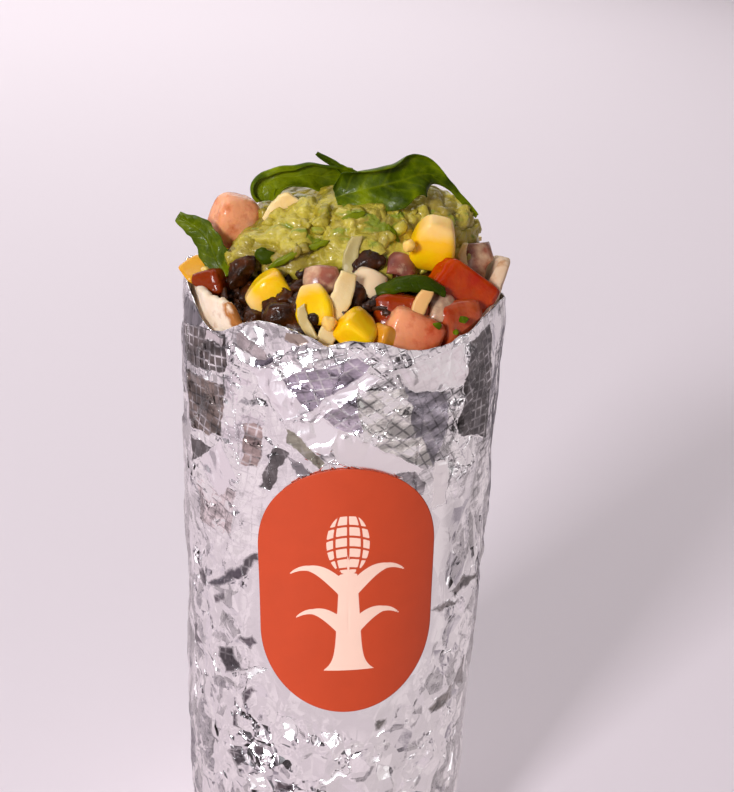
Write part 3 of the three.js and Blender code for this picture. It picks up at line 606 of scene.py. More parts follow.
def foilHeights(look, angle):
    # the rim's height, and rows of heights from the base to it, closer together on the rounded lower edge
    rim = rimHeight(angle)[None] + 0.5 * layeredNoise(around(angle, roll["radius"], 0)[None], 5, 91)
    lowRows = np.linspace(0, 1, 10)[:-1, None] ** 1.3
    share = np.linspace(0, 1, look["wallRows"])[:, None]
    lowZ = roll["baseRound"] * lowRows + 0 * rim
    return rim, np.concatenate([lowZ, roll["baseRound"] + (rim - roll["baseRound"]) * share])


def foilRadius(look, angles, z, rim, relief, folds, lip):
    # the roll's radius with the crumples and folds on it, upright pleats at the base, drawn in at the rim
    nearRim = smoothStep(7, 0.5, rim - z)
    pleats = np.sin(np.radians(angles * look["pleats"]) + 3 * softNoise(around(angles, 20, 0), 7, 5))
    pleats = look["pleatDepth"] * pleats * (1 - smoothStep(3, look["pleatHeight"], z))
    radius = rollRadius(z) + smoothStep(0, 9, z) * (relief * (1 - 0.35 * nearRim) + folds) + lip
    return radius + pleats * smoothStep(0, 2, z) - look["lean"] * nearRim


def foilInside(look, angle, z, rim, radius):
    # rings over the thin edge and down the inside: the wall thickens downwards until its inside is smooth
    rings = [around(angle, radius[-1] - look["thickness"] * 0.5, rim[0] + 0.12)]
    for down, wall in look["inside"]:
        height = rim[0] - down
        outer = np.array([np.interp(h, z[:, i], radius[:, i]) for i, h in enumerate(height)])
        smoothInside = rollRadius(height) - 2
        rings.append(around(angle, np.minimum(outer - wall, smoothInside + (2 - wall) * 0.9), height))
    for height, inset in look["foot"]:
        rings.append(around(angle, rollRadius(np.array(float(height))) - inset, height))
    return np.stack(rings)


def foilGrid(look, angles, z, cells, lip):
    # the embossed grid's place and how far it shows: its directions change from one large facet to the next,
    # and it shows on some of them
    across = np.radians(angles) * roll["radius"]
    sway = (cells["large"] - 0.5) * 2
    (front, frontReach), (frontSlant, restSlant) = look["gridFront"], look["gridSlants"]
    slant = np.where(np.abs(angles - front) < frontReach, frontSlant, restSlant) + look["gridTurn"] * sway
    gridX = across * np.cos(slant) + z * np.sin(slant)
    gridY = z * np.cos(slant * 0.7) - across * np.sin(slant * 0.7)
    shown = smoothStep(104, 122, z + 10 * sway) * (cells["large"] > 0.18) * (cells["middle"] > 0.12)
    faint = smoothStep(88, 104, z) * bell(angles, -50, 26) * 0.6
    turning = np.hypot(*np.gradient(slant))
    embossed = np.clip(shown + faint, 0, 1) * (1 - 0.6 * lip) * (turning < 0.05)
    return np.stack([gridX, gridY, z], -1) / look["gridPitch"], embossed


def paintedDarkStreaks(look, angles, z):
    # painted dark reflections: upright streaks that sway a little and fade out at both ends
    swayed = angles + np.sin(z / 5)
    return sum(
        depth * bell(swayed, centre, width) * smoothStep(low - 5, low + 5, z) * smoothStep(high + 4, high - 4, z)
        for centre, low, high, width, depth in look["paintedStreaks"])


def addFoil(look):
    # a closed wall: outside from the base to the rim, over a thin edge, and down the inside to a floor
    columns = look["columns"]
    angle = np.arange(columns) * 360 / columns - 180
    rim, z = foilHeights(look, angle)
    angles = np.broadcast_to(angle, z.shape)
    relief, cells = foilRelief(angles, z)
    folds, lip = foilFolds(angles, z), foilLip(angles, z)
    radius = foilRadius(look, angles, z, rim, relief, folds, lip)
    rings = np.concatenate([around(angles, radius, z), foilInside(look, angle, z, rim, radius)])
    extra = len(rings) - len(z)

    # places for the material's patterns, on the grid's directions and on the unrolled wall
    gridPlace, embossed = foilGrid(look, angles, z, cells, lip)
    gridPlace = np.concatenate([gridPlace, np.repeat(gridPlace[-1:], extra, 0)])
    gridPlace = np.concatenate([gridPlace.reshape(-1, 3), np.zeros((2, 3))])
    wallPlace = np.stack([np.radians(angles) * roll["radius"], z, np.ones(z.shape)], -1).reshape(-1, 3)
    wallPlace = np.concatenate([wallPlace, np.zeros((len(gridPlace) - len(wallPlace), 3))])

    # numbers for the material; those of the outside alone are 0 on the rest
    lipShare = np.clip(lip, 0, 1)
    steep = np.abs(np.gradient(folds, axis=0)) + np.abs(np.gradient(folds, axis=1))
    flat = (1 - smoothStep(0.03, 0.12, steep)) * (1 - 0.7 * lipShare)
    embossed, flat, lipShare = (
        np.concatenate([part, np.zeros((extra, columns))]) for part in (embossed, flat, lipShare))
    allAngles, allZ = (np.concatenate([part, np.repeat(part[-1:], extra, 0)]) for part in (angles, z))
    values = {
        "embossed": embossed, "flat": flat, "lip": lipShare, "open": smoothStep(1, 9, besideLabel(allAngles, allZ)),
        "streak": paintedDarkStreaks(look, allAngles, allZ),
    }
    upper = foilMaterial("foilUpper", look, look["sheets"], *look["upperEdge"])
    piece = addMesh("foilWrap", capped(rings), *closedGrid(len(rings), columns), upper, "foil",
                    {key: capValues(numbers) for key, numbers in values.items()},
                    {"gridPlace": gridPlace, "wallPlace": wallPlace}, "foil_wrap")
    piece.data.materials.append(foilMaterial("foilLower", look, look["lowSheets"], *look["lowerEdge"]))
    middles = np.zeros(len(piece.data.polygons) * 3, np.float32)
    piece.data.polygons.foreach_get("center", middles)
    piece.data.polygons.foreach_set("material_index", (middles[2::3] < look["border"] * mm).astype(np.int32))


def insideSheet(tree, place, corners):
    # distance in mm inside a flat sheet: the least of the distances from the lines through its edges
    inside = None
    for (startAngle, startZ), (endAngle, endZ) in zip(corners, corners[1:] + corners[:1]):
        start, end = math.radians(startAngle) * roll["radius"], math.radians(endAngle) * roll["radius"]
        length = math.hypot(end - start, endZ - startZ)
        inward = ((endZ - startZ) / length, (start - end) / length)
        offset = -inward[0] * start - inward[1] * startZ
        line = node(tree, "VectorMath", "DOT_PRODUCT", i0=place, i1=(*inward, offset)).outputs["Value"]
        inside = calc(tree, "MINIMUM", inside, line) if inside else line
    return inside


def asSeen(tree, normal, start, end):
    # a direction carried between the object's own axes and the world's
    made = node(tree, "VectorTransform", Vector=normal)
    made.vector_type, made.convert_from, made.convert_to = "NORMAL", start, end
    return made.outputs[0]


def gridLines(tree, gridPlace):
    # the embossed grid's lines in its two directions: 1 along a line, easing to 0 beside it
    grid = node(tree, "SeparateXYZ", Vector=gridPlace).outputs
    lines = []
    for axis in ("X", "Y"):
        fold = calc(tree, "PINGPONG", grid[axis], 0.5)
        line = spread(tree, fold, 0.0, 0.16, 1.0, 0.0)
        line.node.interpolation_type = "SMOOTHSTEP"
        lines.append(line)
    return lines


def facetCells(tree, look, place):
    # the facets' leans, cell by cell, from the largest to the smallest, and the creases between small cells
    high = spread(tree, node(tree, "SeparateXYZ", Vector=place).outputs["Z"], 0.085, 0.118)
    wander = node(tree, "TexNoise", Vector=place, Scale=70.0, Detail=1.0).outputs["Color"]
    swayed = vectorCalc(tree, "MULTIPLY_ADD", wander, (0.004, 0.004, 0.004), place)
    stretched = vectorCalc(tree, "MULTIPLY", swayed, (1, 1, 0.7))
    normal = asSeen(tree, node(tree, "NewGeometry").outputs["Normal"], "WORLD", "OBJECT")
    for cell, low, top, flat, crinkled in look["cells"]:
        flat = times(tree, attribute(tree, "flat"), flat) if flat else None
        lean = plus(tree, spread(tree, high, 0.0, 1.0, low, top), times(tree, attribute(tree, "lip"), crinkled))
        lean = times(tree, lean, attribute(tree, "open"))
        normal = faceted(tree, normal, stretched, cell, lean, flat)
    borders = node(tree, "TexVoronoi", Vector=stretched, Scale=1 / look["creaseSize"])
    borders.feature = "DISTANCE_TO_EDGE"
    crease = spread(tree, borders.outputs["Distance"], 0.0, 0.16)
    crease = times(tree, crease, spread(tree, noiseOf(tree, place, 110, 2), 0.46, 0.58))
    return normal, times(tree, crease, attribute(tree, "open"))


def flatSheets(tree, look, place, normal, sheets, ragged, fade):
    # the flat sheets, one over the other, with ragged edges: the foil's direction, tone, darker where a sheet
    # carries painted dark reflection or painted shade, roughness, how far the grid shows on it, and the raised edges
    tone, quilted, ridge = look["tint"], attribute(tree, "embossed"), 0.0
    roughness = spread(tree, noiseOf(tree, place, 90, 3), 0.3, 0.7, *look["roughness"])
    torn = node(tree, "TexNoise", Vector=place, Scale=260.0, Detail=3.0).outputs["Color"]
    torn = vectorCalc(tree, "SUBTRACT", torn, (0.5, 0.5, 0.5))
    wallPlace = vectorCalc(tree, "MULTIPLY_ADD", torn, (ragged, ragged, 0), attribute(tree, "wallPlace", "Vector"))
    level = normal
    for corners, paintedSheetTone, (aside, up), shown in sheets:
        inside = insideSheet(tree, wallPlace, corners)
        mask = spread(tree, inside, -fade, fade)
        turn = math.radians(sum(angle for angle, _ in corners) / len(corners) + aside)
        rise = math.radians(up)
        way = (math.sin(turn) * math.cos(rise), -math.cos(turn) * math.cos(rise), math.sin(rise))
        level = mixed(tree, mask, level, way, "VECTOR")
        # painted dark reflection and painted shade: the sheet's tone darkens the foil's colour
        tone = mixed(tree, mask, tone, paintedSheetTone)
        quilted = mixed(tree, mask, quilted, shown, "FLOAT")
        roughness = mixed(tree, mask, roughness, 0.30 - 0.12 * shown, "FLOAT")
        edge = spread(tree, calc(tree, "ABSOLUTE", inside), 0.0, 0.4, 1.0, 0.0)
        ridge = calc(tree, "MAXIMUM", times(tree, ridge, calc(tree, "SUBTRACT", 1.0, mask)), edge)
    return mixed(tree, 0.2, level, normal, "VECTOR"), tone, roughness, quilted, ridge


def foilMaterial(name, look, sheets, ragged, fade):
    # ragged and fade say how far in mm the sheets' edges wander, and half their width
    material, tree, shader = startMaterial(name, Metallic=1.0)
    place = objectPlace(tree)
    gridPlace = attribute(tree, "gridPlace", "Vector")
    lines = gridLines(tree, gridPlace)
    normal, crease = facetCells(tree, look, place)
    normal, tone, roughness, quilted, ridge = flatSheets(tree, look, place, normal, sheets, ragged, fade)

    # the embossed grid: each field leans a little, and its lines are raised, with painted shade darkening them here and
    # painted highlight brightening them there
    own = node(tree, "TexWhiteNoise", Vector=vectorCalc(tree, "FLOOR", gridPlace)).outputs["Color"]
    own = vectorCalc(tree, "SUBTRACT", own, (0.5, 0.5, 0.5))
    own = vectorCalc(tree, "SCALE", own, Scale=times(tree, quilted, look["quilt"]))
    normal = vectorCalc(tree, "NORMALIZE", vectorCalc(tree, "ADD", normal, own))
    normal = asSeen(tree, normal, "OBJECT", "WORLD")
    pattern = times(tree, calc(tree, "MAXIMUM", *lines), quilted)
    banded = vectorCalc(tree, "MULTIPLY", place, (1, 1, 2.2))
    mottle = times(tree, quilted, spread(tree, noiseOf(tree, banded, 110, 5, 0.6), 0.4, 0.64, *look["mottle"]))
    # painted highlight on the grid's lines where noise lets it, then painted shade on all of them
    lighter = times(tree, pattern, spread(tree, noiseOf(tree, place, 200, 2), 0.4, 0.6, 0.0, look["linePaintedHighlight"]))
    mottle = calc(tree, "SUBTRACT", mottle, times(tree, pattern, look["linePaintedShade"]))
    tone = mixed(tree, lighter, tone, look["tint"])
    # the painted dark streaks darken the foil's colour further; the mottle varies it at random
    bright = calc(tree, "SUBTRACT", plus(tree, mottle, 1.0), attribute(tree, "streak"))
    tone = vectorCalc(tree, "SCALE", tone, Scale=bright)
    height = times(tree, pattern, look["gridDepth"])
    relief = (
        (crease, look["creaseDepth"]), (noiseOf(tree, place, 260, 3, 0.5), 0.06),
        (noiseOf(tree, place, 1100, 2, 0.5), 0.006), (times(tree, ridge, noiseOf(tree, place, 400, 2)), 0.15),
    )
    for part, depth in relief:
        height = plus(tree, height, times(tree, part, depth))
    bumped(tree, shader, [(height, mm, 1.0)], normal)
    tree.links.new(tone, shader.inputs["Base Color"])
    tree.links.new(roughness, shader.inputs["Roughness"])
    return material


addFoil(foilLook)
print("foil wrapped")


# label

def printDistance(look, s, t):
    # a plain maize plant: a cob on a tapering stalk with two pairs of arching leaves; distance to its
    # outline, negative inside
    stalkWidth, stalkFoot, stalkTop = look["stalk"]
    cobMiddle, cobWidth, cobHeight = look["cob"]
    stalk = np.abs(s) - stalkWidth - 0.055 * (6 - t) - 2.6 * np.exp(-(t - stalkFoot) / 1.9)
    stalk = np.maximum(stalk, np.maximum(stalkFoot - t, t - stalkTop))
    cob = (np.hypot(s / cobWidth, (t - cobMiddle) / cobHeight) - 1) * cobWidth
    rows = np.abs((s / np.sqrt(np.clip(1 - ((t - cobMiddle) / 8.6) ** 2, 0.08, 1)) + 1.5) % 3 - 1.5)
    kernels = np.abs((t + 0.05 * s * s) % 2.6 - 1.3)
    cob = np.maximum(cob, 0.28 - np.minimum(rows, kernels))
    plant = np.minimum(stalk, cob)
    for foot, reach, rise in look["leaves"]:
        along = np.clip((np.abs(s) - 0.5) / reach, 0, 1)
        arch = foot + rise * np.sin(1.9 * along) - 3.2 * along * along
        thick = 2.5 * np.sqrt(np.clip(1 - along, 0, 1)) * (0.45 + 0.55 * np.sin(math.pi * np.minimum(1, along + 0.35)))
        leaf = np.maximum(np.abs(t - arch) - thick, np.abs(s) - 0.5 - reach)
        plant = np.minimum(plant, leaf)
    return plant


def addLabel(look):
    # a thin stadium bent round the roll: rings from its outline to its middle, both faces closed at the edge
    columns, ringCount = 420, 84
    half, straight = look["width"] / 2, (look["length"] - look["width"]) / 2
    bow = np.linspace(-math.pi / 2, math.pi / 2, 120)
    corner = np.stack([half * np.sin(bow), straight + half * np.cos(bow)])
    outline = np.concatenate([corner, -corner, corner[:, :1]], 1)
    walked = np.concatenate([[0], np.cumsum(np.hypot(*np.diff(outline)))])
    place = np.arange(columns) / columns * walked[-1]
    edgeS, edgeT = (np.interp(place, walked, line)[::-1] for line in outline)
    spineT = np.clip(edgeT, -straight, straight)
    share = np.linspace(0, 1, ringCount)[1:, None]
    s, t = edgeS * share, spineT + (edgeT - spineT) * share
    tilt = math.radians(look["tilt"])
    across = s * math.cos(tilt) - t * math.sin(tilt)
    z = roll["labelHeight"] + s * math.sin(tilt) + t * math.cos(tilt)
    angle = np.degrees(across / roll["radius"]) + look["turn"]
    ripple = 0.16 * layeredNoise(around(angle, roll["radius"], z), 14, 61, 2) + 0.1
    lift = look["gap"] + look["thickness"]
    front = around(angle, rollRadius(z) + lift + ripple, z)
    rounded = around(angle[-1:], (rollRadius(z) + lift + ripple)[-1:] - 0.12, z[-1:])
    back = around(angle, rollRadius(z) + look["gap"] + np.minimum(ripple, 0), z)[::-1]
    rings = np.concatenate([front, rounded, back])
    inked = printDistance(look, s, t)
    inked = np.concatenate([inked, inked[-1:], np.full(back.shape[:2], 5.0)])  # the back is bare
    addMesh("paperLabel", capped(rings), *closedGrid(len(rings), columns), labelMaterial(look), "label",
            {"print": capValues(inked)}, solid="label")


def labelMaterial(look):
    material, tree, shader = startMaterial("labelPaper", Roughness=0.5, Specular_IOR_Level=0.35)
    place = objectPlace(tree)
    inked = spread(tree, attribute(tree, "print"), -0.05, 0.05, 1.0, 0.0)
    darker, lighter = (tuple(min(1, c * share) for c in look["ground"]) for share in look["mottle"])
    mottled = mixed(tree, noiseOf(tree, place, 160, 4), darker, lighter)
    tree.links.new(mixed(tree, inked, mottled, look["print"]), shader.inputs["Base Color"])
    bumped(tree, shader, [(noiseOf(tree, place, 1400, 2), 0.00004, 0.3), (noiseOf(tree, place, 60, 2), 0.0006, 0.15)])
    return material


addLabel(labelLook)
print("label stuck on")


# tortilla

tortillaLook = {
    "columns": 288, "wall": 2.2, "gap": 2.35, "lip": 0.9,
    "flour": (0.81, 0.61, 0.43), "pale": (0.88, 0.72, 0.57), "tan": (0.66, 0.42, 0.25), "toast": (0.42, 0.15, 0.030),
}


def addTortilla(look):
    # a closed cup: its outside up to an uneven rim, over a rounded lip, and down the inside
    columns, lip = look["columns"], look["lip"]
    angle = np.arange(columns) * 360 / columns - 180
    ring = around(angle, roll["radius"], 0)
    top = tortillaHeight(angle) + 0.5 * layeredNoise(ring, 4, 41)
    top = top + 0.5 * softNoise(ring, 1.6, 42) * bell(angle, -50, 16)
    wall = look["wall"] + 0.35 * softNoise(ring, 6, 43) + 1.0 * bell(angle, 76, 20)
    foot = np.minimum(rimHeight(angle) + 0.5, top - 1.6)

    def ringAt(height, inset):
        height = np.broadcast_to(height, angle.shape).astype(float)
        flare = (0.1 + 0.12 * bell(angle, 92, 20)) * np.maximum(0, height - rimHeight(angle) - 1)
        uneven = 0.22 * layeredNoise(around(angle, roll["radius"], height), 5, 44) * smoothStep(130, 145, height)
        outward = 1.2 * bell(angle, 76, 20) * smoothStep(134, 147, height)
        return around(angle, rollRadius(height) - look["gap"] - inset + flare + uneven + outward, height)

    rings = [ringAt(1.5, 0.3), ringAt(6, 0), ringAt(14, 0), ringAt(80, 0), ringAt(130, 0)]
    rings += [ringAt(foot + (top - lip - foot) * part, 0) for part in (-1.2, -0.6, 0, 0.3, 0.6, 1)]
    for turn in np.radians([20, 50, 90, 130, 160]):
        rings.append(ringAt(top - lip + lip * math.sin(turn), wall / 2 * (1 - math.cos(turn))))
    rings += [ringAt(top - lip - (top - lip - foot) * part, wall) for part in (0, 0.4, 0.8, 1.6)]
    rings += [ringAt(z, wall) for z in (130, 80, 14, 4)]
    rings = np.stack(rings)
    toast = np.zeros(rings.shape[:2])
    frayed = angle + 5.0 * layeredNoise(rings[5:], 2.6, 45)
    toast[5:] = np.maximum(bell(frayed, -41, 3.4), 0.5 * bell(frayed, 78, 4)) * smoothStep(142, 145, rings[5:, :, 2])
    tan = np.append(np.tile(bell(angle, 82, 24), len(rings)), (0, 0))
    addMesh("tortillaRoll", capped(rings), *closedGrid(len(rings), columns), tortillaMaterial(look), "tortilla",
            {"toast": capValues(toast), "tan": tan}, solid="tortilla")


def tortillaMaterial(look):
    material, tree, shader = startMaterial(
        "tortillaDough", Roughness=0.75, Specular_IOR_Level=0.25,
        Subsurface_Weight=0.25, Subsurface_Scale=0.002, Subsurface_Radius=(1.0, 0.7, 0.4))
    place = objectPlace(tree)
    floury = mixed(tree, spread(tree, noiseOf(tree, place, 240, 4), 0.35, 0.65), look["flour"], look["pale"])
    blisters = spread(tree, noiseOf(tree, place, 110, 5, 0.65), 0.6, 0.72)
    frayed = plus(tree, attribute(tree, "toast"), times(tree, noiseOf(tree, place, 420, 4), 1.3))
    browned = calc(tree, "MAXIMUM", times(tree, blisters, 0.7), spread(tree, frayed, 0.95, 1.45))
    floury = mixed(tree, times(tree, attribute(tree, "tan"), 0.7), floury, look["tan"])
    tree.links.new(mixed(tree, browned, floury, look["toast"]), shader.inputs["Base Color"])
    bumped(tree, shader, [(noiseOf(tree, place, 320, 4), 0.0006, 0.5), (noiseOf(tree, place, 1500, 2), 0.0001, 0.4)])
    return material


addTortilla(tortillaLook)
print("tortilla lined")


# filling: core, beans and crumbs

fillingLook = {
    "core": (0.020, 0.0065, 0.003), "coreWarm": (0.085, 0.026, 0.008), "coreGap": 5.05,
    "bean": (0.020, 0.006, 0.0015), "beanRed": (0.090, 0.021, 0.003), "beanSize": (6.2, 6.6, 10.5), "beanReach": 28.4,
    # the beans at the front: angles of those that the solids have, then angle and radius of more behind the lip
    "beanCount": 44, "frontBeans": (-44, -31, -18),
    "lipBeans": ((-38, 30.2), (-25, 30.8), (-50, 25), (-36, 23), (-12, 29.5), (-46, 30.5), (-31, 26)),
    "crumbCount": 700,
}


def addCore(look, material):
    # fills the tortilla and domes over its top; the dome is roughened by lumps of bean size
    columns = 200
    angle = np.arange(columns) * 360 / columns - 180
    rings = [around(angle, rollRadius(np.array(z)) - look["coreGap"], z) for z in (4.3, 14.0, 80.0, 135.0)]
    for radius in np.linspace(31.6, 1.2, 64):
        height = heapHeight(angle, radius) - 2.2
        point = around(angle, radius, height)
        lump = nearestBump(point, 5.5, 17)[0]
        point[:, 2] += 1.3 * (0.55 - lump) + 0.4 * softNoise(point, 1.6, 19)
        rings.append(keptInside(point))
    rings = np.stack(rings)
    addMesh("fillingCore", capped(rings), *closedGrid(len(rings), columns), material, "beans", solid="filling")


def coreMaterial(look):
    material, tree, shader = startMaterial(
        "fillingCore", Roughness=0.38, Specular_IOR_Level=0.35, Coat_Weight=0.12, Coat_Roughness=0.15)
    place = objectPlace(tree)
    colour = ramp(tree, noiseOf(tree, place, 380, 5), [(0.38, look["core"]), (0.68, look["coreWarm"])])
    tree.links.new(colour, shader.inputs["Base Color"])
    bumped(tree, shader, [(noiseOf(tree, place, 900, 4), 0.0006, 0.7)])
    return material


def beanShape(columns, rows):
    # an ellipsoid bent into a shallow kidney: the middle moves aside with the square of the length
    turn = np.arange(columns) * tau / columns
    rise = np.linspace(-math.pi / 2, math.pi / 2, rows + 2)[1:-1, None]
    x, y, z = np.cos(rise) ** 0.85 * np.cos(turn), np.cos(rise) ** 0.85 * np.sin(turn), np.sin(rise) + 0 * turn
    rings = np.stack([x * (1 - 0.12 * z * z), y - 0.28 * z * z + 0.1, z], -1) / 2
    return capped(rings), *closedGrid(rows, columns)


def scattered(shape, centres, sizes, turns):
    # one mesh out of many copies of a shape, each with its own size and turn
    points, quads, triangles = shape
    count, size = len(centres), len(points)
    placed = np.stack([turned(points * sizes[i], centres[i], turns[i]) for i in range(count)])
    step = (np.arange(count) * size)[:, None, None]
    return placed.reshape(-1, 3), (quads[None] + step).reshape(-1, 4), (triangles[None] + step).reshape(-1, 3)


def shrivelled(points, depth=0.5):
    # skin wrinkles: points moved by noise whose folds are drawn long
    folds = noiseVector(points * np.array([1, 1.6, 0.8]), 1.7, 91)
    return points + depth * folds + 0.45 * depth * noiseVector(points, 0.9, 95)


def addBeans(look, material):
    # beans on a sunflower spiral over the heap, as the solids have them, and more behind the foil's lip
    random = np.random.default_rng(23)
    golden = 180 * (3 - math.sqrt(5))
    reach, spiralCount = look["beanReach"], look["beanCount"]
    spots = [(a, reach) for a in look["frontBeans"]] + list(look["lipBeans"])
    spots += [(i * golden, reach * math.sqrt((i + 6) / (spiralCount + 6))) for i in range(spiralCount)]
    count = len(spots)
    angle, radius = np.array(spots).T
    angle = (angle + 180) % 360 - 180
    centres = around(angle, radius, heapHeight(angle, radius) - 1.0 - 6 * ((angle > 6) & (angle < 30) & (radius > 24)))
    sizes = np.array(look["beanSize"]) * random.uniform(0.62, 0.92, (count, 1)) * random.uniform(0.85, 1.1, (count, 3))
    turns = [random.uniform(50, 130, count), random.uniform(-25, 25, count), random.uniform(0, 360, count)]
    points, quads, triangles = scattered(beanShape(26, 17), centres, sizes, np.column_stack(turns))
    addMesh("beans", keptInside(shrivelled(points)), quads, triangles, material, "beans")


def beanMaterial(look):
    material, tree, shader = startMaterial(
        "beanSkin", Roughness=0.3, Specular_IOR_Level=0.14, Coat_Weight=0.12, Coat_Roughness=0.06)
    place = objectPlace(tree)
    colour = ramp(tree, noiseOf(tree, place, 260, 4), [(0.4, look["bean"]), (0.7, look["beanRed"])])
    tree.links.new(colour, shader.inputs["Base Color"])
    bumped(tree, shader, [(noiseOf(tree, place, 700, 4), 0.0007, 0.7)])
    return material


def addCrumbs(look, material):
    # small dark shreds and crumbs, strewn over the heap where beans leave room
    random = np.random.default_rng(31)
    count = look["crumbCount"]
    angle, radius = random.uniform(-180, 180, count), 31 * np.sqrt(random.uniform(0.1, 1, count))
    centres = around(angle, radius, heapHeight(angle, radius) + random.uniform(-2.2, 0.8, count))
    sizes = random.uniform((1.2, 1.2, 2.5), (2.6, 2.2, 6), (count, 3))
    turns = random.uniform((40, -40, 0), (140, 40, 360), (count, 3))
    points, quads, triangles = scattered(beanShape(7, 4), centres, sizes, turns)
    points = keptInside(points + 0.35 * noiseVector(points, 1.3, 51))
    addMesh("crumbs", points, quads, triangles, material, "beans")


mashed, beanSkin = coreMaterial(fillingLook), beanMaterial(fillingLook)
addCore(fillingLook, mashed)
addBeans(fillingLook, beanSkin)
addCrumbs(fillingLook, mashed)
print("filling packed")


# guacamole

guacamoleLook = {
    "at": (2.5, 4.5, 157), "reach": (27.5, 18.8, 16),
    # the lumps' sizes and heights; the lobes and the shoulder: angle, half width in degrees and share of the reach
    "chunks": ((6.2, 1.9), (3.1, 1.25), (1.6, 0.55)), "warp": 1.5,
    "lobes": ((213, 15, 0.24), (243, 13, 0.26)), "shoulder": (350, 40, 0.14),
    # deep and bright end the colour ramp; at the dark end it also stands for painted shade in hollows, at the bright
    # end for painted highlight on lump tops
    "deep": (0.12, 0.100, 0.006), "green": (0.40, 0.31, 0.020), "bright": (0.59, 0.48, 0.06),
    "brown": (0.26, 0.175, 0.028), "strand": (0.20, 0.27, 0.010), "bits": 150,
}


def guacamoleSurface(turn, rise):
    # an ellipsoid with two lobes running down at the front left, a shoulder at the right and two slow waves
    look = guacamoleLook
    lift = np.sin(rise)
    waves = 0.05 * np.sin(np.radians(3 * turn) + 0.6) + 0.04 * np.sin(np.radians(5 * turn) + 2)
    lobes = sum(share * bell(turn, middle, width) for middle, width, share in look["lobes"])
    middle, width, share = look["shoulder"]
    shoulder = share * bell(turn, middle, width) * smoothStep(0.3, 0.75, lift) * smoothStep(0.998, 0.93, lift)
    swell = 1 + waves + shoulder + lobes * (1 - smoothStep(0, 0.75, lift))
    level = np.cos(rise) ** 0.92 * swell
    raised = lift * (1 + 0.5 * waves + shoulder)
    side = np.stack([np.cos(np.radians(turn)) * level, np.sin(np.radians(turn)) * level, raised], -1)
    return np.array(look["at"]) + side * np.array(look["reach"])


def addGuacamole(look, material):
    # the mound's surface pushed out by rounded lumps of three sizes, each a dome over its cell's nearest
    # random point, where slow noise lets them stand and elsewhere smears them flat
    columns, rows = 440, 214
    turn = np.arange(columns) * 360 / columns
    rise = np.radians(np.linspace(-60, 89, rows))[:, None]
    points = guacamoleSurface(turn, rise)
    outward = points - np.array(look["at"])
    outward = outward / np.array(look["reach"]) ** 1.4
    outward /= np.linalg.norm(outward, axis=-1, keepdims=True)
    warped = points + look["warp"] * noiseVector(points, 3.4, 71)
    push = 0.9 * layeredNoise(points, 8, 83, 2)
    gate = 0.35 + 0.65 * smoothStep(-0.35, 0.25, softNoise(points, 9, 88))
    crest = np.zeros(points.shape[:2])
    for number, (size, height) in enumerate(look["chunks"]):
        away, own = nearestBump(warped, size, 75 + 5 * number)
        dome = np.sqrt(np.clip(1 - (away / 0.82) ** 2, 0, 1)) * (0.5 + 0.7 * own)
        push += height * gate * (dome - 0.5)
        # the domes, summed, are kept for painted highlight on the lumps' tops and painted shade between them
        crest += dome * (0.5, 0.32, 0.18)[number]
        tone = own if number == 0 else tone * 0.6 + own * 0.4
    points = points + outward * push[..., None]
    addMesh("guacamoleMound", capped(points), *closedGrid(rows, columns), material, "guacamole",
            {"tone": capValues(tone), "crest": capValues(crest)}, solid="guacamole")


def guacamoleMaterial(look):
    material, tree, shader = startMaterial(
        "guacamoleMash", Roughness=0.3, Specular_IOR_Level=0.35, Coat_Weight=0.32, Coat_Roughness=0.1,
        Subsurface_Weight=0.2, Subsurface_Scale=0.002, Subsurface_Radius=(1.0, 0.9, 0.2))
    place = objectPlace(tree)
    tone = attribute(tree, "tone")
    crest = attribute(tree, "crest")
    mottle = noiseOf(tree, place, 300, 5, 0.65)
    # the level: random mottle and tone, and the painted light of the lumps' tops
    level = plus(tree, times(tree, mottle, 0.5), plus(tree, times(tree, tone, 0.25), times(tree, crest, 0.35)))
    # painted light: the mound is lighter towards its right
    paintedRightLight = spread(tree, node(tree, "SeparateXYZ", Vector=place).outputs["X"], -0.005, 0.025, 0.0, 0.2)
    stops = [(0.30, look["deep"]), (0.52, look["green"]), (0.80, look["bright"])]
    colour = ramp(tree, plus(tree, level, paintedRightLight), stops)
    glazed = spread(tree, noiseOf(tree, place, 85, 4, 0.6), 0.50, 0.64, 0.0, 0.75)
    colour = mixed(tree, glazed, colour, look["brown"])
    stretched = node(tree, "Mapping", Vector=place, Rotation=(0.3, 0.5, 0.7), Scale=(1, 5, 3)).outputs[0]
    strands = spread(tree, noiseOf(tree, stretched, 75, 3, 0.5), 0.60, 0.66, 0.0, 0.85)
    tree.links.new(mixed(tree, strands, colour, look["strand"]), shader.inputs["Base Color"])
    fine, finer = noiseOf(tree, place, 340, 5, 0.7), noiseOf(tree, place, 900, 4, 0.6)
    bumped(tree, shader, [(fine, 0.0008, 0.55), (finer, 0.0005, 0.5)])
    return material


def addBits(look, material):
    # small uneven avocado lumps half sunk in the mound's upper side
    random = np.random.default_rng(12)
    count = look["bits"]
    turn, rise = random.uniform(0, 360, count), np.arcsin(random.uniform(-0.2, 0.95, count))
    centres = guacamoleSurface(turn, rise) + random.uniform(-0.6, 0.3, (count, 1))
    centres[:, 2] -= 2.6 * smoothStep(168.5, 170.5, centres[:, 2])  # those at the top stay below the leaves
    sizes = random.uniform((2, 1.8, 2.4), (5, 3.4, 5.6), (count, 3))
    turns = random.uniform(0, 360, (count, 3))
    points, quads, triangles = scattered(beanShape(9, 5), centres, sizes, turns)
    points = points + 0.8 * noiseVector(points, 1.7, 61)
    tone = np.repeat(random.uniform(0, 1, count), len(points) // count)
    # the bits carry an even share of the painted light of lump tops
    addMesh("avocadoBits", keptInside(points), quads, triangles, material, "guacamole",
            {"tone": tone, "crest": np.full(len(points), 0.6)})


mash = guacamoleMaterial(guacamoleLook)
addGuacamole(guacamoleLook, mash)
addBits(guacamoleLook, mash)
print("guacamole heaped")


# sweetcorn

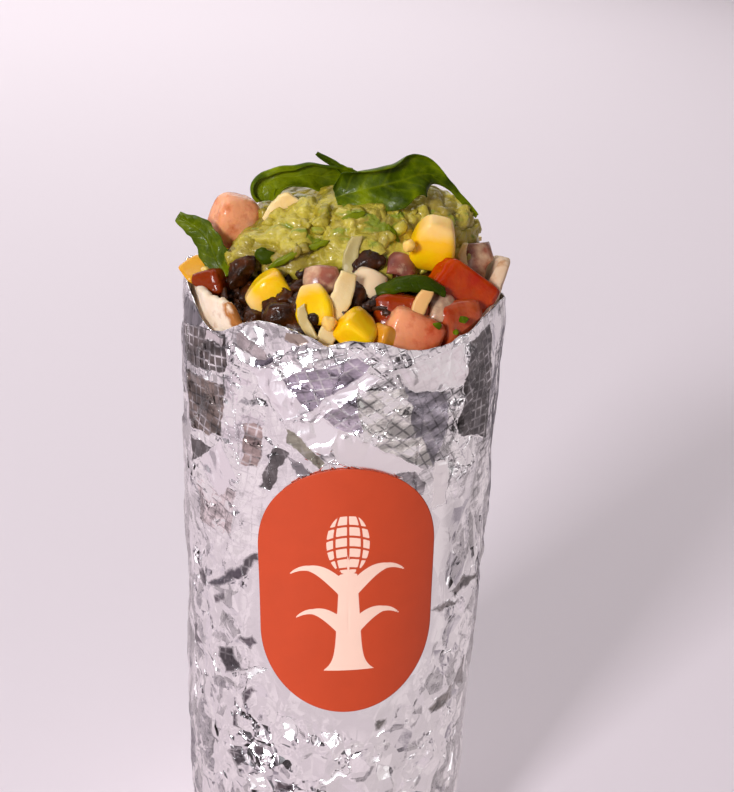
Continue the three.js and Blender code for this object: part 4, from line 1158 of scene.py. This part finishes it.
cornLook = {
    "yellow": (0.98, 0.61, 0.003), "deep": (0.95, 0.49, 0.002), "pale": (0.95, 0.60, 0.19),
    "amber": (0.66, 0.27, 0.012),
    # loose kernel tips: place and size
    "tips": (((-2.5, -33.0, 150.2), 3.4), ((14.2, -17.4, 164.2), 2.8), ((-31.5, -9.0, 154.0), 2.6)),
    "pieces": [
        {"at": (-16.4, -20.6, 152.4), "turn": (-6, 56, 6), "size": (10.2, 9.6, 11.2)},
        {"at": (-6, -27, 152.0), "turn": (150, -14, 0), "size": (9.4, 8.2, 11)},
        {"at": (3.5, -30, 148.4), "turn": (70, -140, 0), "size": (9.8, 8, 11)},
        {"at": (19.8, -11.2, 163.6), "turn": (-157, 10, 8), "size": (11.8, 9, 13.2)},
        {"at": (-33.4, -5.6, 151.6), "turn": (30, -30, 20), "size": (8.8, 8.2, 10.0), "amber": 0.8},
        {"at": (9.4, -29.4, 144.9), "turn": (0, 25, 40), "size": (7.6, 6.8, 9.5), "amber": 1.0},
        {"at": (17.5, 25.5, 154.8), "turn": (60, 30, 15), "size": (9.6, 8, 11)},
        {"at": (-15.5, 26, 155), "turn": (100, -40, 60), "size": (9.2, 7.8, 10.6)},
        {"at": (-29.5, 8.5, 156), "turn": (-70, 20, 80), "size": (9.4, 8, 11)},
        {"at": (29.6, 15.5, 152.8), "turn": (20, 80, 10), "size": (9, 7.6, 10.4)},
        {"at": (3, 28.8, 154), "turn": (75, 150, 20), "size": (9.4, 8, 10.8)},
    ],
}


def kernelPoints(size, seed, columns=64, rows=48):
    # a tooth: a squarish round section whose sides narrow towards the cut tip at -Z, both ends blunt,
    # and the crown at +Z shallowly dented
    turn = np.arange(columns) * tau / columns
    rise = np.linspace(-math.pi / 2, math.pi / 2, rows + 2)[1:-1, None]
    z = np.sign(np.sin(rise)) * np.abs(np.sin(rise)) ** 0.7 + 0 * turn
    share = np.cos(rise) ** 0.32 * (0.66 + 0.34 * smoothStep(-1.2, 0.3, z))

    def corner(c):
        return np.sign(c) * np.abs(c) ** 0.45

    x, y = share * corner(np.cos(turn)), share * corner(np.sin(turn))
    dent = 0.12 * np.exp(-((x * x + y * y) / 0.2)) * smoothStep(0.3, 0.9, z)
    points = np.stack([x * 0.88, y * 0.88, (z - dent) * 0.92], -1)
    points = points + 0.07 * noiseVector(points + seed * 3.1, 0.8, seed)
    return points * np.array(size) / 2, z


def addKernels(look):
    material = kernelMaterial(look)
    for number, piece in enumerate(look["pieces"], 1):
        rings, along = kernelPoints(piece["size"], number)
        points = keptInside(turned(capped(rings), piece["at"], piece["turn"]))
        amber = np.full(len(points), piece.get("amber", 0.0))
        addMesh(f"kernel{number:02d}", points, *closedGrid(*rings.shape[:2]), material, "corn",
                {"along": capValues(along), "amber": amber}, solid=f"corn_{number:02d}")
    addTips(look, material)


def unevenBead(points, size, number, wander):
    # a ball of the given size, moved by noise
    return points * size + 0.3 * noiseVector(points * size + number * 5, wander, 5)


def addTips(look, material):
    points, quads, triangles = beanShape(24, 16)
    values = {"along": np.full(len(points), -0.75), "amber": np.full(len(points), 0.3)}
    for number, (at, size) in enumerate(look["tips"], 1):
        bead = unevenBead(points, size, number, 1.3) + np.array(at)
        addMesh(f"kernelTip{number}", bead, quads, triangles, material, "corn", values)


def kernelMaterial(look):
    material, tree, shader = startMaterial(
        "kernelSkin", Roughness=0.24, Specular_IOR_Level=0.3, Coat_Weight=0.15, Coat_Roughness=0.08,
        Subsurface_Weight=0.3, Subsurface_Scale=0.002, Subsurface_Radius=(1.0, 0.5, 0.05))
    place = objectPlace(tree)
    uneven = times(tree, calc(tree, "SUBTRACT", noiseOf(tree, place, 260, 3), 0.5), 0.7)
    tip = spread(tree, plus(tree, attribute(tree, "along"), uneven), -0.35, -0.85)
    yellows = mixed(tree, spread(tree, noiseOf(tree, place, 170, 3), 0.35, 0.65), look["yellow"], look["deep"])
    yellows = mixed(tree, attribute(tree, "amber"), yellows, look["amber"])
    tree.links.new(mixed(tree, tip, yellows, look["pale"]), shader.inputs["Base Color"])
    bumped(tree, shader, [(noiseOf(tree, place, 330, 3), 0.0004, 0.35)])
    return material


addKernels(cornLook)
print("sweetcorn laid")


# tomato

tomatoLook = {
    "skin": (0.42, 0.014, 0.0002), "flesh": (0.52, 0.062, 0.001), "pink": (0.86, 0.36, 0.17),
    # dull is a dark red painted on the pieces that sit in shade
    "core": (0.86, 0.50, 0.34), "dull": (0.22, 0.026, 0.002),
    "pieces": [
        {"at": (29.0, -13.2, 151.6), "turn": (-18, 37, 16), "size": (21.6, 6.4, 9.8), "pale": 0.0, "square": 8},
        {"at": (13.0, -22.2, 149.4), "turn": (-12, 3, -4), "size": (12.4, 8, 9.4), "pale": 0.0, "dull": 0.75},
        {"at": (15.6, -25.6, 145.6), "turn": (-10, 26, 8), "size": (13, 9.4, 11.4), "pale": 0.5, "slope": -0.9},
        {"at": (25.6, -19.4, 146.0), "turn": (-16, -6, 36), "size": (11.6, 9.4, 13), "pale": 0.12, "dull": 0.3},
        {"at": (-26, 1.4, 163.6), "turn": (10, 14, 30), "size": (11.4, 9.6, 12), "pale": 1.0, "square": 3},
        {"at": (-30.2, -9.8, 151.4), "turn": (-10, -22, -24), "size": (7.8, 6.6, 6.4), "pale": 0.0, "dull": 0.95},
        {"at": (9.8, 27, 156), "turn": (-14, 20, 40), "size": (12, 9, 10), "pale": 0.3},
        {"at": (-23.8, 19.6, 156.6), "turn": (16, 10, -30), "size": (12, 10, 9), "pale": 0.1},
        {"at": (26, 22, 152), "turn": (8, -18, 50), "size": (11, 9, 9.6), "pale": 0.6},
        {"at": (-6.4, 29, 152.2), "turn": (-20, 30, 12), "size": (10, 8, 9), "pale": 0.2},
    ],
}


def dicePoints(size, seed, squareness, columns=72, rows=48):
    # directions of a sphere pushed out to a rounded box by the power mean of their parts, then made uneven
    turn = np.arange(columns) * tau / columns
    rise = np.linspace(-math.pi / 2, math.pi / 2, rows + 2)[1:-1, None]
    way = np.stack([np.cos(rise) * np.cos(turn), np.cos(rise) * np.sin(turn), np.sin(rise) + 0 * turn], -1)
    box = way / (np.abs(way) ** squareness).sum(-1, keepdims=True) ** (1 / squareness)
    box = box + 0.09 * noiseVector(box + seed * 5.3, 0.95, seed * 9)
    box = box * (1 + 0.018 * softNoise(box + seed, 0.22, seed)[..., None])
    return box * np.array(size) / 2


def addTomatoes(look):
    material = tomatoMaterial(look)
    for number, piece in enumerate(look["pieces"], 1):
        rings = dicePoints(piece["size"], number, piece.get("square", 5))
        points = keptInside(turned(capped(rings), piece["at"], piece["turn"]))
        # paler towards one end
        pale = np.clip(piece["pale"] + piece.get("slope", 0.0) * capped(rings)[:, 0] / piece["size"][0], 0, 1)
        # painted shade: how far each piece is darkened
        dull = np.full(len(points), piece.get("dull", 0.0))
        addMesh(f"tomato{number:02d}", points, *closedGrid(*rings.shape[:2]), material, "tomato",
                {"pale": pale, "dull": dull}, solid=f"tomato_{number:02d}")


def tomatoMaterial(look):
    material, tree, shader = startMaterial(
        "tomatoFlesh", Roughness=0.2, Specular_IOR_Level=0.2, Coat_Weight=0.12, Coat_Roughness=0.06,
        Subsurface_Weight=0.25, Subsurface_Scale=0.002, Subsurface_Radius=(1.0, 0.12, 0.03))
    place = objectPlace(tree)
    pale = attribute(tree, "pale")
    grain = noiseOf(tree, place, 230, 5, 0.6)
    flesh = mixed(tree, spread(tree, grain, 0.25, 0.5), look["flesh"], look["pink"])
    ripe = mixed(tree, spread(tree, grain, 0.3, 0.7), look["skin"], look["flesh"])
    # painted shade darkens the skin of some pieces before the paler flesh is mixed in
    colour = mixed(tree, pale, mixed(tree, attribute(tree, "dull"), ripe, look["dull"]), flesh)
    veined = spread(tree, noiseOf(tree, place, 120, 3), 0.58, 0.74)
    colour = mixed(tree, times(tree, veined, times(tree, pale, 0.8)), colour, look["core"])
    tree.links.new(colour, shader.inputs["Base Color"])
    bumped(tree, shader, [(noiseOf(tree, place, 420, 4, 0.5), 0.0006, 0.5)])
    return material


addTomatoes(tomatoLook)
print("tomato laid")


# onion

onionLook = {
    "white": (0.84, 0.60, 0.37), "purple": (0.12, 0.024, 0.026), "pink": (0.46, 0.15, 0.09),
    "pieces": [
        {"at": (-4.6, -22.0, 156.6), "turn": (64, -4, 4), "size": (8.8, 6.6, 2.4), "tint": 0.75},
        {"at": (13.4, -14.6, 159.2), "turn": (46, 24, 24), "size": (8.0, 6.0, 1.8), "tint": 1.1},
        {"at": (31.4, -2.2, 156.2), "turn": (80, 0, 30), "size": (10.5, 11, 1.9), "bend": 0.4, "tint": 0.75},
        {"at": (22.8, -22.6, 151.8), "turn": (56, 14, 20), "size": (6.8, 6.6, 2.0), "tint": 0.6},
        {"at": (5.6, -20.0, 156.2), "turn": (52, 18, -14), "size": (8.6, 6.4, 2.4), "tint": 0.0},
        {"at": (23, 17, 161), "turn": (-50, 20, 40), "size": (8, 7, 2.2), "tint": 0.4},
        {"at": (-20.5, 13.5, 163.5), "turn": (-40, -40, 40), "size": (7, 7, 2.4), "tint": 0.5},
    ],
}


def thickened(middle, thickness):
    # both faces of a sheet: its middle points moved each way along their normals, from the grid's own slopes
    alongU, alongV = np.gradient(middle, axis=1), np.gradient(middle, axis=0)
    normal = np.cross(alongU, alongV)
    normal /= np.linalg.norm(normal, axis=-1, keepdims=True) + 1e-9
    offset = normal * thickness[..., None] / 2
    return np.concatenate([(middle + offset).reshape(-1, 3), (middle - offset).reshape(-1, 3)])


def addOnions(look):
    # sheets bent with the square of their width and length, narrower to one end and thinner at the edge
    material = onionMaterial(look)
    rows, columns = 29, 25
    for number, piece in enumerate(look["pieces"], 1):
        width, length, thick = piece["size"]
        s, t = np.meshgrid(np.linspace(-1, 1, columns), np.linspace(-1, 1, rows))
        narrowed = 1 - 0.11 * (t + 1)
        bow = -piece.get("bend", 0.35) * width * 0.5 * s * s - 0.08 * length * t * t
        middle = np.stack([s * width / 2 * narrowed * (1 - 0.08 * t * t), t * length / 2 * (1 - 0.06 * s * s), bow], -1)
        middle = middle + 0.25 * noiseVector(middle + number * 7, 3, number)
        edge = 1 - 0.55 * np.maximum(np.abs(s), np.abs(t)) ** 6
        points = turned(thickened(middle, thick * edge), piece["at"], piece["turn"])
        addMesh(f"onion{number:02d}", keptInside(points), *thickGrid(rows, columns), material, "onion",
                {"tint": np.full(len(points), piece["tint"])}, solid=f"onion_{number:02d}")


def onionMaterial(look):
    material, tree, shader = startMaterial(
        "onionFlesh", Roughness=0.24, Specular_IOR_Level=0.35, Coat_Weight=0.15, Coat_Roughness=0.08,
        Subsurface_Weight=0.35, Subsurface_Scale=0.003, Subsurface_Radius=(1.0, 0.5, 0.4))
    place = objectPlace(tree)
    mottled = spread(tree, noiseOf(tree, place, 330, 4), 0.3, 0.65, 0.35, 1.5)
    tint = times(tree, attribute(tree, "tint"), mottled)
    skin = mixed(tree, spread(tree, noiseOf(tree, place, 150, 2), 0.35, 0.65), look["purple"], look["pink"])
    tree.links.new(mixed(tree, tint, look["white"], skin), shader.inputs["Base Color"])
    bumped(tree, shader, [(noiseOf(tree, place, 500, 2), 0.0003, 0.35)])
    return material


addOnions(onionLook)
print("onion laid")


# cheese

cheeseLook = {
    "cream": (0.93, 0.70, 0.38), "pale": (0.90, 0.60, 0.24), "clear": (0.36, 0.30, 0.10), "tan": (0.74, 0.40, 0.13),
    "pieces": [
        {"at": (1.4, -16.4, 160.4), "turn": (-16, 9, 0), "size": (3.1, 0.9, 10.6), "bend": 0.05, "twist": 0.2,
         "clear": 0.8},
        {"at": (-0.2, -27, 154.0), "turn": (-24, 24, 0), "size": (4.6, 1.0, 11.8), "bend": -0.07, "twist": 0.25,
         "clear": 0.1},
        {"at": (-7.6, -32, 149.6), "turn": (-14, -26, 0), "size": (2.2, 0.8, 7.6), "bend": 0.08, "clear": 0.5},
        {"at": (-2.6, -32.4, 147.6), "turn": (-14, 28, 0), "size": (4.2, 0.9, 5.4), "twist": 0.2, "clear": 0.15},
        {"at": (17.0, -25.8, 152.6), "turn": (-16, 20, 0), "size": (3.2, 1.3, 7.8), "twist": 0.15, "bend": 0.04,
         "tan": 0.9},
        {"at": (-14.9, -3, 167.6), "turn": (10, 40, 10), "size": (6, 1.1, 9), "bend": 0.04, "twist": 0.2},
        {"at": (26.8, -5.6, 159.8), "turn": (-6, 6, 40), "size": (2, 1.0, 5)},
        {"at": (14, 23.4, 160.4), "turn": (50, 60, 0), "size": (2.8, 1.0, 12)},
        {"at": (-11.5, 23.4, 159.8), "turn": (50, -50, 0), "size": (2.6, 1.0, 12), "bend": 0.2},
        {"at": (-28.6, 15.8, 158.4), "turn": (70, 10, 60), "size": (2.8, 1.0, 10)},
        {"at": (28.6, 12, 157.6), "turn": (60, 30, 100), "size": (2.6, 1.0, 9)},
    ],
}


def addShreds(look):
    # strips that narrow to their ends, bend with the square of their length and twist along it
    material = cheeseMaterial(look)
    rows, columns = 45, 13
    for number, piece in enumerate(look["pieces"], 1):
        width, thick, length = piece["size"]
        s, t = np.meshgrid(np.linspace(-0.5, 0.5, columns), np.linspace(-1, 1, rows))
        uneven = softNoise(np.stack([t * 6, s * 0, s * 0 + number], -1), 1, 8)
        wide = s * width * (1 - 0.2 * t * t) * (1 + 0.06 * uneven)
        t = t + 0.12 * s * np.sign(t) * np.abs(t) ** 3
        twist = piece.get("twist", 0.5) * t
        bow = piece.get("bend", 0.15) * length * t * t
        middle = np.stack([wide * np.cos(twist) + bow, wide * np.sin(twist), t * length / 2], -1)
        middle = middle + 0.22 * noiseVector(middle + number * 7, 2.4, number)
        edge = 1 - 0.35 * np.abs(2 * s) ** 9
        points = turned(thickened(middle, thick * edge), piece["at"], piece["turn"])
        clear, tan = (np.full(len(points), piece.get(key, 0.0)) for key in ("clear", "tan"))
        addMesh(f"cheese{number:02d}", keptInside(points, 4.9), *thickGrid(rows, columns), material, "cheese",
                {"clear": clear, "tan": tan}, solid=f"cheese_{number:02d}")


def cheeseMaterial(look):
    material, tree, shader = startMaterial(
        "cheeseShred", Roughness=0.38, Specular_IOR_Level=0.3,
        Subsurface_Weight=0.4, Subsurface_Scale=0.002, Subsurface_Radius=(1.0, 0.8, 0.4))
    place = objectPlace(tree)
    creamy = mixed(tree, spread(tree, noiseOf(tree, place, 200, 3), 0.35, 0.7), look["cream"], look["pale"])
    coloured = mixed(tree, attribute(tree, "clear"), creamy, look["clear"])
    coloured = mixed(tree, attribute(tree, "tan"), coloured, look["tan"])
    tree.links.new(coloured, shader.inputs["Base Color"])
    bumped(tree, shader, [(noiseOf(tree, place, 700, 3), 0.0003, 0.4)])
    return material


addShreds(cheeseLook)
print("cheese strewn")


# leaves

leafLook = {
    "green": (0.070, 0.105, 0.0003), "dark": (0.026, 0.045, 0.0002), "light": (0.20, 0.245, 0.001),
    "under": (0.17, 0.20, 0.003),
    # specks and shreds of chopped leaf: place, size, lean to the side in degrees, share of pale tone and of dark
    "flecks": (
        ((21.0, -28.4, 149.4), (2.0, 1.4, 1.6), 0, 0, 0.3), ((26.9, -25.2, 150.0), (2.2, 1.2, 1.6), 0, 0, 0.3),
        ((25.4, -25.4, 147.2), (1.4, 1.0, 1.2), 0, 0, 0.3), ((-17.8, -12.9, 159.2), (5.2, 1.6, 3.6), 20, 0, 0.8),
        ((-13.4, -16.9, 159.6), (8.0, 1.3, 1.6), -32, 1, 0), ((-6.4, -14.2, 162.4), (6.5, 1.3, 1.4), -24, 1, 0),
        ((1.7, -11.6, 169.0), (5.6, 1.3, 1.6), -16, 1, 0), ((10.6, -12.4, 165.6), (5.0, 1.2, 1.5), 55, 1, 0),
    ),
    # curl says how far the section turns over, in radians, on the spine's left side and on its right
    "pieces": [
        {"spine": [(-19.2, 1.4, 168.6), (-19.6, 1.8, 172.2), (-14.6, 2.2, 174.2), (-7.5, 3.4, 174.8),
                   (0.6, 5.6, 174.6)],
         "width": 9.4, "facing": (0, -0.9, 0.35), "cup": 0.25, "curl": (2.5, 0.5), "wave": 0.3, "blunt": 0.42,
         "skew": 0.8, "pale": 0.75},
        {"spine": [(-2.6, -5, 171.6), (3.4, -5.6, 173.6), (10.6, -4.6, 175.6), (17, -1.4, 177.2),
                   (22.8, 1.4, 174.4), (30.2, 4.4, 166.6)],
         "width": 13, "facing": (0.08, -0.84, 0.5), "cup": 0.15, "curl": (1.7, -0.7), "wave": 0.35, "blunt": 0.05,
         "skew": 0.62, "narrow": 0.72, "pale": 0.0},
        {"spine": [(-26.8, -10.6, 153.4), (-30.4, -8.2, 159.6), (-34.0, -6.6, 163.6), (-38.2, -5.4, 165.4)],
         "width": 6.6, "facing": (-0.1, -0.9, 0.3), "cup": -0.3, "curl": (0.3, 0.8), "wave": 0.1, "blunt": 0.1,
         "skew": 0.62, "pale": 0.1, "shade": 0.3},
        {"spine": [(7.4, -21.8, 154.4), (14.9, -22.4, 157.4), (22.2, -21, 155.4)],
         "width": 4.4, "facing": (0, -0.6, 0.8), "cup": -0.3, "curl": (-0.6, -0.6), "wave": 0.3, "thickness": 1.6,
         "blunt": 0.4, "shade": 1.0},
        {"spine": [(-9, 14, 172), (0, 23, 170), (7.5, 29, 160.5)],
         "width": 13, "facing": (0, 0.6, 0.8), "cup": -0.2, "curl": (-0.5, -0.5), "wave": 0.15, "pale": 0.3},
        {"spine": [(3.2, 4.6, 174.2), (-1.6, 4.6, 175.6), (-4.4, 4.8, 177.8), (-7.4, 5, 179.6)],
         "width": 3.4, "facing": (0, -0.9, 0.3), "cup": 0.6, "curl": (1, 0.6), "blunt": 0.02, "skew": 0.5,
         "pale": 0.1, "solid": "leaf_01"},
    ],
}


def throughPoints(points, count):
    # a smooth curve through the points: each span blends its two ends by their slopes, as a cubic
    points = np.array(points, float)
    ends = np.concatenate([[2 * points[0] - points[1]], points, [2 * points[-1] - points[-2]]])
    place = np.linspace(0, len(points) - 1, count)
    span = np.minimum(place.astype(int), len(points) - 2)
    t = (place - span)[:, None]
    before, first, second, after = (ends[span + k] for k in range(4))
    slopeA, slopeB = (second - before) / 2, (after - first) / 2
    ofFirst, ofSecond = 2 * t**3 - 3 * t**2 + 1, 3 * t**2 - 2 * t**3
    return ofFirst * first + (t**3 - 2 * t**2 + t) * slopeA + ofSecond * second + (t**3 - t**2) * slopeB


def leafReach(piece, along, s):
    # half the width, which swells and falls along the spine, with a finely waved edge
    stretch = 0.1 + 0.83 * along ** piece.get("skew", 1)
    blunt = piece.get("blunt", 0.25)
    reach = piece["width"] / 2 * (blunt + (1 - blunt) * np.sin(math.pi * stretch) ** 0.8)
    reach = reach * (1 - piece.get("narrow", 0) * smoothStep(0.55, 0.8, along))
    return reach * (1 + 0.05 * np.sin(along * 31 + 2 * np.sign(s)) * np.abs(s) ** 3)


def leafSection(piece, number, along, s):
    # the curled section across the spine, for a half width of 1: its direction turns more towards its edges,
    # and its place is the running sum of that direction
    left, right = piece.get("curl", (0, 0))
    wave = piece.get("wave", 0.1) * np.sin(tau * 1.7 * along + 1.3 * s + number) * np.abs(s)
    curled = right * smoothStep(0.25, 1, s)
    lean = 2 * piece.get("cup", 0.2) * s - left * smoothStep(0.25, 1, -s) + curled + wave * 2
    step = 2 / (len(s) - 1)
    across, raised = np.cumsum(np.cos(lean), 0) * step, np.cumsum(np.sin(lean), 0) * step
    return across - across[len(s) // 2], raised - raised[len(s) // 2]


def leafVeins(number, along, s):
    # narrow bells on slanting lines to both sides of the spine, and a stronger one along it
    strayed = 0.3 * softNoise(np.stack([along * 3, s, s * 0 + number], -1), 0.6, 3)
    place = (along * 8 - np.abs(s) * 1.5 + strayed) % 1
    return np.exp(-(((place - 0.5) / 0.1) ** 2)) * (1 - np.abs(s) ** 4) + 1.5 * np.exp(-((s / 0.05) ** 2))


def addLeaves(look):
    # a spine with a curled section across it, grooved along the veins and thinner at the edges
    material = leafMaterial(look)
    rows, columns = 61, 121
    along, s = np.meshgrid(np.linspace(0, 1, columns), np.linspace(-1, 1, rows))
    for number, piece in enumerate(look["pieces"], 1):
        spine = throughPoints(piece["spine"], columns)
        tangent = np.gradient(spine, axis=0)
        tangent /= np.linalg.norm(tangent, axis=1, keepdims=True)
        side = np.cross(tangent, np.array(piece["facing"], float))
        side /= np.linalg.norm(side, axis=1, keepdims=True)
        lift = np.cross(side, tangent)
        reach = leafReach(piece, along, s)
        across, raised = leafSection(piece, number, along, s)
        veins = leafVeins(number, along, s)
        middle = spine[None] + side[None] * (across * reach)[..., None] + lift[None] * (raised * reach)[..., None]
        middle = middle + 0.4 * noiseVector(middle, 3.2, 40)
        middle = middle - lift[None] * (0.05 * veins)[..., None]
        thick = piece.get("thickness", 0.45) * (1 - 0.6 * np.abs(s) ** 6)
        points = thickened(middle, thick)
        values = {
            "vein": np.tile(veins.ravel(), 2),
            "pale": np.concatenate([np.zeros(s.size), np.full(s.size, piece.get("pale", 0.0))]),
            "shade": np.full(len(points), piece.get("shade", 0.0)),
        }
        addMesh(f"leaf{number:02d}", points, *thickGrid(rows, columns), material, "leaf", values,
                solid=piece.get("solid", f"leaf_{number:02d}"))
    addFlecks(look, material)


def addFlecks(look, material):
    points, quads, triangles = beanShape(16, 10)
    zeros = np.zeros(len(points))
    for number, (at, size, lean, pale, shade) in enumerate(look["flecks"], 1):
        bead = turned(unevenBead(points, size, number, 0.8), at, (0, lean, 0))
        addMesh(f"leafFleck{number}", bead, quads, triangles, material, "leaf",
                {"vein": zeros, "pale": zeros + pale, "shade": zeros + shade})


def leafMaterial(look):
    material, tree, shader = startMaterial(
        "leafSkin", Roughness=0.36, Specular_IOR_Level=0.06, Coat_Weight=0.04, Coat_Roughness=0.1,
        Subsurface_Weight=0.2, Subsurface_Scale=0.001, Subsurface_Radius=(0.8, 1.0, 0.05))
    place = objectPlace(tree)
    stops = [(0.36, look["dark"]), (0.52, look["green"]), (0.70, look["light"])]
    greens = ramp(tree, noiseOf(tree, place, 150, 5), stops)
    veined = mixed(tree, times(tree, attribute(tree, "vein"), 0.25), greens, look["light"])
    patches = spread(tree, noiseOf(tree, place, 110, 4), 0.40, 0.58, 0.25, 1.0)
    backed = mixed(tree, times(tree, attribute(tree, "pale"), patches), veined, look["under"])
    shade = times(tree, attribute(tree, "shade"), 0.85)
    tree.links.new(mixed(tree, shade, backed, look["dark"]), shader.inputs["Base Color"])
    bumped(tree, shader, [(noiseOf(tree, place, 260, 4), 0.0008, 0.6)])
    return material


addLeaves(leafLook)
print("leaves laid")


# loose beans

looseBeans = [
    {"at": (5.2, -15.2, 159.4), "turn": (0, 74, 12), "size": (5.4, 5.8, 8.6)},
    {"at": (-23.0, -13.4, 155.4), "turn": (20, 30, 40), "size": (5.0, 5.4, 8.2)},
    {"at": (11, 19.6, 166), "turn": (10, 80, 50), "size": (5.8, 6.2, 9.8)},
]


def addLooseBeans(pieces, material):
    shape, quads, triangles = beanShape(40, 26)
    for number, piece in enumerate(pieces, 1):
        points = turned(shape * np.array(piece["size"]), piece["at"], piece["turn"])
        addMesh(f"bean{number:02d}", shrivelled(points, 0.6), quads, triangles, material, "beans",
                solid=f"bean_{number:02d}")


addLooseBeans(looseBeans, beanSkin)
print("loose beans laid")


# floor, backdrop, lights

studio = {
    # sizes and places in metres
    "floor": (0.842, 0.732, 0.784, 1), "reach": 8.0, "glow": (0.61, 0.545, 0.585, 1), "glowFrom": 1.5, "glowFull": 3.6,
    "ambient": (1.0, 0.95, 0.93), "ambientStrength": 0.135,
    "room": [(0.0, (0.012, 0.008, 0.007)), (0.34, (0.030, 0.022, 0.022)), (0.37, (0.12, 0.10, 0.12)),
             (0.41, (0.34, 0.28, 0.33)), (0.445, (0.48, 0.41, 0.46)), (0.47, (0.78, 0.66, 0.72)),
             (0.54, (0.67, 0.57, 0.61)), (0.60, (0.90, 0.77, 0.82)), (0.66, (0.72, 0.64, 0.65)),
             (0.70, (1.9, 1.8, 1.9))],
    "roomScale": 3.2, "roomRight": (0.86, 0.88, 0.85), "wall": (0.74, 0.655, 0.70),
    "key": {"at": (-1.15, -2.12, 0.97), "aim": (0, 0, 0.1), "size": 0.5, "power": 57, "tint": (0.95, 0.96, 1.0)},
    "back": {"at": (-0.85, 1.6, 1.0), "aim": (-0.85, 1.3, 0), "size": 2.8, "power": 35, "tint": (0.97, 1.0, 1.0)},
    "top": {"at": (-0.25, 0.1, 0.85), "aim": (0, 0, 0.15), "size": 0.35, "power": 0.4, "tint": (1.0, 0.99, 1.0)},
}


def addFloor(look):
    # one flat sheet of paper; polished surfaces see the room in its place, and far out, where the lamps don't
    # reach, it glows a little so that it stays as pale
    reach = look["reach"]
    corners = [(-reach, -reach, 0), (reach, -reach, 0), (reach, reach, 0), (-reach, reach, 0)]
    mesh = bpy.data.meshes.new("floor")
    mesh.from_pydata(corners, [], [(0, 1, 2, 3)])
    material, tree, shader = startMaterial(
        "floorPaper", Base_Color=look["floor"], Roughness=0.9, Specular_IOR_Level=0.2, Emission_Color=look["glow"])
    way = node(tree, "SeparateXYZ", Vector=objectPlace(tree)).outputs
    ahead = calc(tree, "MAXIMUM", times(tree, way["Y"], -1.0), calc(tree, "SUBTRACT", way["Y"], 0.9))
    away = calc(tree, "MAXIMUM", calc(tree, "ABSOLUTE", way["X"]), ahead)
    tree.links.new(spread(tree, away, look["glowFrom"], look["glowFull"]), shader.inputs["Emission Strength"])
    mesh.materials.append(material)
    floor = bpy.data.objects.new("floor", mesh)
    floor.visible_glossy = False
    bpy.context.collection.objects.link(floor)


def addLamp(name, lamp):
    # a square lamp that faces its aim
    data = bpy.data.lights.new(name, "AREA")
    data.shape = "RECTANGLE"
    data.size = data.size_y = lamp["size"]
    data.energy = lamp["power"]
    data.color = lamp["tint"]
    thing = bpy.data.objects.new(name, data)
    away = Vector(lamp["at"]) - Vector(lamp["aim"])
    thing.location = lamp["at"]
    thing.rotation_euler = away.to_track_quat("Z", "Y").to_euler()
    bpy.context.collection.objects.link(thing)


def addWorld(look):
    # an even pale room; polished surfaces see pale paper below the horizon and a dark room with paler patches
    # above it
    world = bpy.data.worlds.new("room")
    world.use_nodes = True
    bpy.context.scene.world = world
    tree = world.node_tree
    place = node(tree, "TexCoord").outputs["Generated"]
    way = node(tree, "SeparateXYZ", Vector=place)
    uneven = calc(tree, "SUBTRACT", noiseOf(tree, place, look["roomScale"], 1.5, 0.5), 0.5)
    below = spread(tree, way.outputs["Y"], 0.2, 0.9, -0.54, -0.47)
    below = calc(tree, "SUBTRACT", times(tree, uneven, 0.5), below)
    above = plus(tree, times(tree, uneven, 1.7), 0.42)
    horizon = spread(tree, way.outputs["Z"], -0.14, 0.04)
    patches = mixed(tree, horizon, below, above, "FLOAT")
    toRight = mixed(tree, spread(tree, way.outputs["X"], -0.5, 0.8), (1.0, 1.0, 1.0), look["roomRight"])
    tinted = vectorCalc(tree, "MULTIPLY", ramp(tree, patches, look["room"]), toRight)
    ray = node(tree, "LightPath").outputs
    even = tuple(c * look["ambientStrength"] for c in look["ambient"])
    seen = mixed(tree, ray["Is Glossy Ray"], mixed(tree, ray["Is Camera Ray"], even, look["wall"]), tinted)
    tree.links.new(seen, tree.nodes["Background"].inputs["Color"])


addFloor(studio)
for lampName in ("key", "back", "top"):
    addLamp(lampName, studio[lampName])
addWorld(studio)
bpy.context.scene.view_settings.view_transform = "Standard"
print("studio lit")

bpy.context.view_layer.update()
